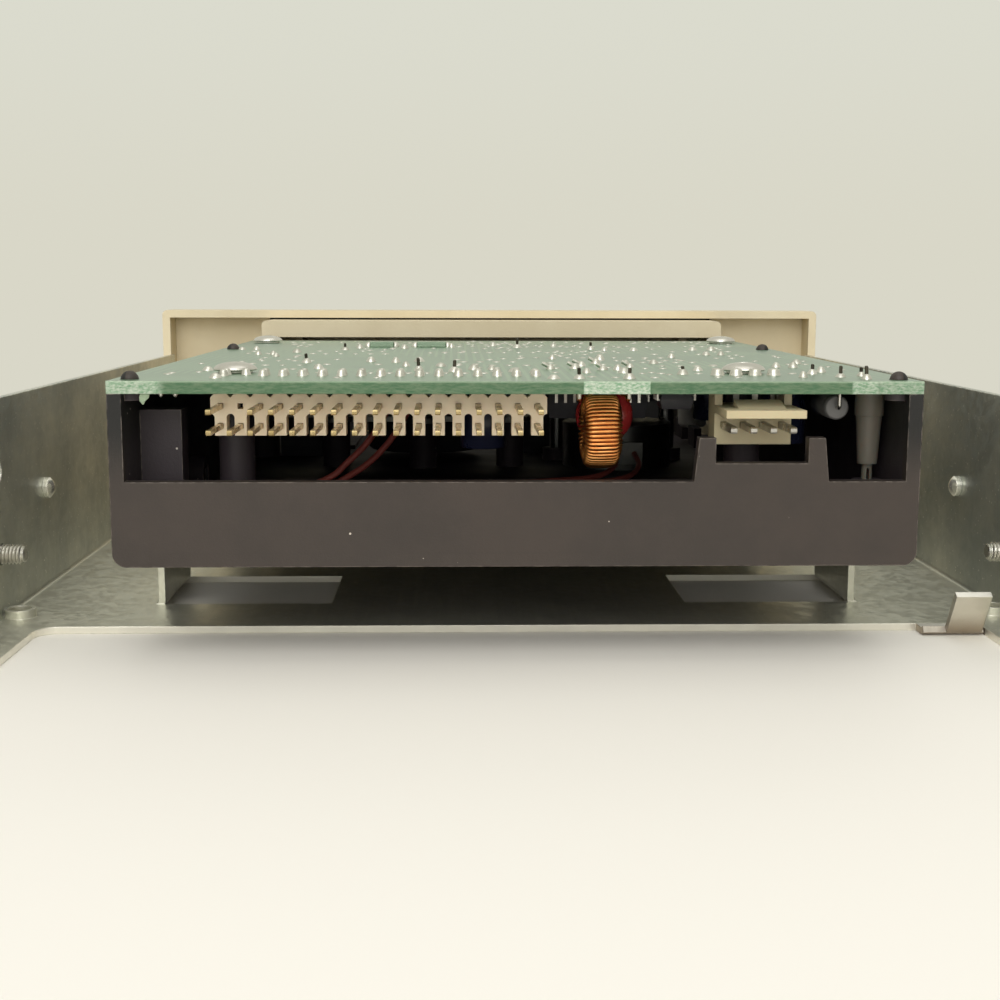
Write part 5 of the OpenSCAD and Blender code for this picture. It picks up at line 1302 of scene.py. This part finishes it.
round_joints = [(-27.2, 26.1), (14.9, 23.0), (43.9, 39.2), (15.1, 50.9), (7.6, 52.7), (-42.0, 21.5),
                (-46.7, 84.1), (-44.1, 84.1), (-37.5, 60.0), (-35.6, 73.7), (-25.8, 90.0), (-20.9, 44.0),
                (-17.5, 89.8), (-15.1, 32.4), (-10.0, 32.2), (0.2, 19.1), (2.9, 17.0), (-0.8, 100.8),
                (-8.8, 94.0), (17.6, 37.0), (22.2, 39.8), (27.5, 57.2), (26.0, 22.0), (24.3, 82.1),
                (19.0, 82.3), (10.9, 100.5), (35.3, 83.9), (38.7, 83.8), (37.4, 7.8), (4.7, 4.6),
                (-38.3, 5.7), (AXIAL[0], 18.6)]
round_joints += DISC_LEADS + wire_spots + LED_LEADS
for x, y in CANS:
    round_joints += [(x - 1.25, y), (x + 1.25, y)]
leaning_leads = [(9.2, 27.0), (12.9, 24.0), (5.6, 25.5), (10.6, 33.0), (13.4, 40.0), (17.4, 30.0)]
print("pins", len(pin_spots) + len(power_spots), "standing", len(standing_leads), "round", len(round_joints))

# %% [markdown]
# The low pads follow the usual grid: rows a pitch apart under the larger parts, and pairs for the small
# ones. They keep clear of the screws, the pegs and each other, and a fixed seed gives the same board each
# time.

# %% Places of the low pads
random.seed(11)
SCREW_CLEAR = 4.2
PEG_CLEAR = 2.8
PEG_X = 48.6
PEG_ROWS = (3.5, 86.0)
PAD_GAP = 1.9
PAD_REACH = 48.5
PAD_REAR = 5.0
PAD_FRONT = 123.0
PAD_RUNS = 26
PAD_PAIRS = 110
KEEP_OUT = [(x, y, SCREW_CLEAR) for x, y in BOARD_SCREWS]
KEEP_OUT += [(side * PEG_X, y, PEG_CLEAR) for side in (-1, 1) for y in PEG_ROWS]
taken = pin_spots + power_spots + standing_leads + round_joints + leaning_leads
pads = []


def add_pad(x, y):
    """Keeps a pad if it is on the board and clear of what is there."""
    if abs(x) > PAD_REACH or not PAD_REAR < y < PAD_FRONT:
        return
    if any(math.hypot(x - kx, y - ky) < reach for kx, ky, reach in KEEP_OUT):
        return
    if all(math.hypot(x - tx, y - ty) > PAD_GAP for tx, ty in taken):
        taken.append((x, y))
        pads.append((x, y))


for _ in range(PAD_RUNS):
    x = random.uniform(-46, 40)
    y = random.uniform(14, 120)
    for k in range(random.randint(3, 10)):
        add_pad(x + k * PITCH, y)
for _ in range(PAD_PAIRS):
    x = random.uniform(-47, 47)
    y = random.uniform(5, 122)
    span = PITCH * random.choice((1, 2, 3))
    across = random.random() < 0.6
    add_pad(x, y)
    add_pad(x + span * across, y + span * (not across))
print("pads", len(pads))

# %% [markdown]
# A joint is a turned fillet, steep for a pin and round for a wire. No two wires take the same amount of
# solder, so the round joints and the pads are copied a little larger or smaller. All of them together are
# one piece that the board carries.

# %% Solder joints
solder_z = BOARD_TOP / MM
pin_cone = turned([(-0.02, 0.68), (0.1, 0.64), (0.35, 0.56), (0.6, 0.5), (0.8, 0.42), (0.87, 0.15)], 12, 60)
power_cone = turned([(-0.02, 0.95), (0.1, 0.92), (0.4, 0.82), (0.7, 0.76), (0.84, 0.66), (0.9, 0.25)], 14, 60)
joint = turned([(-0.02, 0.85), (0.1, 0.8), (0.32, 0.66), (0.55, 0.46), (0.68, 0.28), (0.72, 0.1)], 12, 60)
pad = turned([(-0.02, 0.72), (0.04, 0.7), (0.1, 0.5), (0.13, 0.22)], 10, 60)
solder = [copy_to(pin_cone, place(x, y, solder_z), (0.0, 0.0, x)) for x, y in pin_spots]
solder += [copy_to(power_cone, place(x, y, solder_z), (0.0, 0.0, x)) for x, y in power_spots]
for x, y in standing_leads + round_joints + leaning_leads:
    blob = copy_to(joint, place(x, y, solder_z), (0.0, 0.0, x))
    size = random.uniform(0.7, 1.05)
    blob.scale = (size, size, random.uniform(0.75, 1.15))
    solder.append(blob)
for x, y in pads:
    blob = copy_to(pad, place(x, y, solder_z))
    size = random.uniform(0.6, 1.0)
    blob.scale = (size, size, 1.0)
    solder.append(blob)
for template in (pin_cone, power_cone, joint):
    bpy.data.objects.remove(template)
add_piece(gather(solder, "solder_joints", pad), "drive", "tinned_pins", finish["solder"])

# %% [markdown]
# A standing lead is cut with side cutters, which leave its end slanted and dark. A leaning one was bent
# over before it was soldered, and the solder has run along it, so it is a short wire in the solder's
# finish.

# %% Cut and leaning leads
cut_lead = turned([(0.0, 0.24), (1.25, 0.24), (1.32, 0.16)], 10, 40)
edit_faces(cut_lead, lambda centre, normal: normal.z > 0.9)
bpy.ops.transform.translate(value=(0.06 * MM, 0.0, 0.05 * MM))
close_edit(cut_lead)
stubs = []
for x, y in standing_leads:
    stub = copy_to(cut_lead, place(x, y, solder_z), (0.0, random.uniform(-0.12, 0.12), 2 * y))
    stub.scale = (1.0, 1.0, random.uniform(0.8, 1.35))
    stubs.append(stub)
add_piece(gather(stubs, "cut_leads", cut_lead), "drive", "spring_steel", finish["cut_wire"])

LEANING_WIRE = 0.6
leaning = []
for x, y in leaning_leads:
    reach = random.uniform(0.9, 1.3)
    points = [(x, y, solder_z), (x - 0.25 * reach, y, solder_z + 0.4), (x - 0.7 * reach, y, solder_z + 0.68),
              (x - reach, y, solder_z + 0.85)]
    leaning.append(wire_mesh("leaning_lead", [place(*point) for point in points], LEANING_WIRE * MM))
add_piece(gather(leaning, "leaning_leads"), "drive", "tinned_pins", finish["solder"])

# %% [markdown]
# Two lead ends and a torn burr of the board hang under its left rear corner. The burr starts as a slab
# whose lower face is pulled to a point and twisted a little, as glass fibre tears.

# %% Burr and lead ends under the board
BURR = (-46.1, 0.45)
LEAD_ENDS = [(-44.7, 3.0), (-42.9, 3.0)]
burr = slab((-0.58, -0.22, -0.5), (0.58, 0.22, 0.0))
edit_faces(burr, lambda centre, normal: normal.z < -0.9)
bpy.ops.transform.translate(value=(-0.12 * MM, 0.06 * MM, 0.0))
bpy.ops.mesh.extrude_region_move(TRANSFORM_OT_translate={"value": (-0.2 * MM, -0.08 * MM, -0.45 * MM)})
bpy.ops.transform.resize(value=(0.55, 0.8, 1.0))
bpy.ops.mesh.extrude_region_move(TRANSFORM_OT_translate={"value": (0.05 * MM, 0.05 * MM, -0.4 * MM)})
bpy.ops.transform.resize(value=(0.25, 0.4, 1.0))
close_edit(burr)
burr.location = place(*BURR, board_z)
add_piece(settle(burr, "board_burr"), "drive", "circuit_board", finish["torn_fibre"])
lead_end = turned([(-0.62, 0.12), (-0.5, 0.26), (-0.2, 0.34), (0.0, 0.42)], 12, 60)
lead_ends = [copy_to(lead_end, place(x, y, board_z)) for x, y in LEAD_ENDS]
add_piece(gather(lead_ends, "lead_ends", lead_end), "drive", "tinned_pins", finish["solder"])

# %% [markdown]
# Two narrow strips of board lie on the solder side, near the front, each tacked down at its ends. They are
# slabs with bevelled rims in the board's own finish, written down as a place and a width.

# %% Board strips
STRIPS = [(-22.0, 96.0, 4.4), (-12.6, 96.0, 5.4)]
STRIP_HALF = 1.1
STRIP_HEIGHT = 1.0
TACK_GAP = 0.35
strips = []
tacks = []
tack = turned([(-0.02, 0.75), (0.3, 0.72), (0.75, 0.5), (0.95, 0.2)], 12, 60)
for x, y, width in STRIPS:
    strip = slab((-width / 2, -STRIP_HALF, 0.0), (width / 2, STRIP_HALF, STRIP_HEIGHT))
    apply_modifier(strip, "BEVEL", width=0.12 * MM, segments=2, limit_method="ANGLE")
    strip.location = place(x, y, solder_z)
    strips.append(strip)
    for side in (-1, 1):
        tacks.append(copy_to(tack, place(x + side * (width / 2 + TACK_GAP), y, solder_z)))
add_piece(gather(strips, "board_strips"), "drive", "circuit_board", finish["circuit_board"])
add_piece(gather(tacks, "strip_solder", tack), "drive", "tinned_pins", finish["solder"])

# %% [markdown]
# The winding's ends are scraped free of enamel and tinned where they enter the board, so a grey collar
# sits on the copper just below it. It is turned once and copied to both ends.

# %% Tinned ends of the winding
tinned_end = turned([(-1.0, 0.26), (-0.8, 0.3), (-0.2, 0.32), (0.0, 0.4)], 14, 60)
tinned_ends = [copy_to(tinned_end, place(x, y, board_z)) for x, y in coil_spots]
add_piece(gather(tinned_ends, "winding_tinned_ends", tinned_end), "drive", "tinned_pins", finish["solder"])

# %% [markdown]
# ## Painted shade in the bezels' gap
# The drive's bezel stands in the window of the bay's bezel with a narrow gap all round. A thin dark strip
# fills it as painted shade, so that no light shows through. It is a slab with the drive bezel's rounded
# outline cut out.

# %% Dark strip in the gap, painted shade
GAP = 0.28
SHADE_STRIP_DEPTH = 1.8
SHADE_STRIP_SET_BACK = 0.6
BEZEL_CORNER = 1.0


def edit_edges(obj, test):
    """Opens edit mode with the edges selected whose run from end to end passes the test."""
    take(obj)
    bpy.context.tool_settings.mesh_select_mode = (False, True, False)
    bpy.ops.object.mode_set(mode="EDIT")
    bpy.ops.mesh.select_all(action="DESELECT")
    bpy.ops.object.mode_set(mode="OBJECT")
    for edge in obj.data.edges:
        first, second = (obj.data.vertices[index].co for index in edge.vertices)
        edge.select = test(second - first)
    bpy.ops.object.mode_set(mode="EDIT")


low, high = (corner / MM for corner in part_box("drive_bezel"))
front = high.y - SHADE_STRIP_SET_BACK
gap_shade_strip = slab((low.x - GAP, front - SHADE_STRIP_DEPTH, low.z - GAP), (high.x + GAP, front, high.z + GAP))
core = slab((low.x, front - 3.0, low.z), (high.x, front + 1.0, high.z))
edit_edges(core, lambda run: abs(run.y) > 1.0 * MM)
bpy.ops.mesh.bevel(offset=BEZEL_CORNER * MM, segments=5)
close_edit(core)
apply_modifier(gap_shade_strip, "BOOLEAN", operation="DIFFERENCE", object=core, solver="EXACT")
bpy.data.objects.remove(core)
add_piece(settle(gap_shade_strip, "painted_gap_shade"), "drive", "black_plastic", finish["painted_gap_shade"])

# %% [markdown]
# ## Floor, room and lamps
# The drive stands on a large pale floor. Away from the drive the floor fades into the room's colour, and
# the world has that colour at the horizon, so the room looks the same all round. Only rays from the
# camera and from glossy or clear faces see this room; the light itself comes from an even world and soft
# lamps: a weak one above, a broad one high behind the camera, which leaves the tray under the board in
# shade, and a weak low one that reaches the faces under the board. A weak lamp in front lights the bezel.
# The low ones aren't mirrored, because seen from the other side they would turn the lacquer white.

# %% Floor and room
WALL = tone(217, 215, 200)
TABLE = tone(247, 243, 232)
TABLE_SIZE = 8.0
TABLE_DROP = 0.00002
TABLE_FADE = (0.22, 0.42)


def seen_by(tree, *kinds):
    """One for the kinds of ray that are named, nothing for the others."""
    path = tree.nodes.new("ShaderNodeLightPath")
    seen = path.outputs[kinds[0]]
    for kind in kinds[1:]:
        seen = math_node(tree, "MAXIMUM", seen, path.outputs[kind])
    return seen


def mix_shaders(tree, share, first, second, output):
    """Mixes two shaders by a share and gives the mix to the output node."""
    mix = tree.nodes.new("ShaderNodeMixShader")
    for value, socket in zip((share, first.outputs[0], second.outputs[0]), mix.inputs):
        tree.links.new(value, socket)
    tree.links.new(mix.outputs[0], tree.nodes[output].inputs["Surface"])


def pale_table():
    """A floor that takes the drive's shadow and fades into the room's colour."""
    bpy.ops.object.select_all(action="DESELECT")
    bpy.ops.mesh.primitive_plane_add(size=TABLE_SIZE, location=(0, 0, -TABLE_DROP))
    table = bpy.context.object
    table.name = "table"
    material = bpy.data.materials.new("pale_table")
    material.use_nodes = True
    tree = material.node_tree
    shader = tree.nodes["Principled BSDF"]
    shader.inputs["Roughness"].default_value = 0.75
    shader.inputs["Base Color"].default_value = TABLE
    spot = tree.nodes.new("ShaderNodeTexCoord").outputs["Object"]
    reach = add(tree, "ShaderNodeVectorMath", operation="LENGTH")
    tree.links.new(spot, reach.inputs[0])
    far = between(tree, reach.outputs["Value"], *TABLE_FADE)
    wall = add(tree, "ShaderNodeEmission", Color=WALL, Strength=1.0)
    seen = seen_by(tree, "Is Camera Ray", "Is Glossy Ray")
    mix_shaders(tree, math_node(tree, "MULTIPLY", far, seen), shader, wall, "Material Output")
    table.data.materials.append(material)


def pale_room():
    """A world that lights evenly, and shows the room's colour where it is looked at."""
    world = bpy.data.worlds.new("pale_room")
    scene.world = world
    world.use_nodes = True
    tree = world.node_tree
    light = tree.nodes["Background"]
    light.inputs["Color"].default_value = (1.0, 0.985, 0.95, 1.0)
    light.inputs["Strength"].default_value = 0.52
    seen_wall = tree.nodes.new("ShaderNodeBackground")
    height = split_axes(tree, tree.nodes.new("ShaderNodeTexCoord").outputs["Generated"])[2]
    rise = between(tree, height, 0.02, 0.2)
    tree.links.new(mix_colour(tree, rise, WALL, tone(219, 219, 206)), seen_wall.inputs["Color"])
    seen = seen_by(tree, "Is Camera Ray", "Is Glossy Ray", "Is Transmission Ray")
    mix_shaders(tree, seen, light, seen_wall, "World Output")


def soft_lamp(name, spot, aim, size, watts, mirrored=True):
    """A round soft lamp; one that isn't mirrored gives light but no highlight."""
    lamp = bpy.data.lights.new(name, "AREA")
    lamp.shape = "DISK"
    lamp.size = size
    lamp.energy = watts
    obj = bpy.data.objects.new(name, lamp)
    scene.collection.objects.link(obj)
    obj.location = spot
    obj.rotation_euler = (Vector(aim) - Vector(spot)).to_track_quat("-Z", "Y").to_euler()
    obj.visible_glossy = mirrored


pale_table()
pale_room()
soft_lamp("lamp_above", (0.05, 0.0, 0.95), (0.0, 0.0, 0.0), 0.7, 1.1)
soft_lamp("lamp_behind_camera", (-0.12, -0.8, 0.7), (0.0, -0.07, 0.03), 0.9, 5.1)
soft_lamp("lamp_low", (-0.05, -1.0, 0.24), (0.0, -0.07, 0.03), 0.6, 2.9, mirrored=False)
soft_lamp("lamp_front", (0.3, 0.85, 0.5), (0.0, 0.06, 0.02), 0.6, 1.4, mirrored=False)
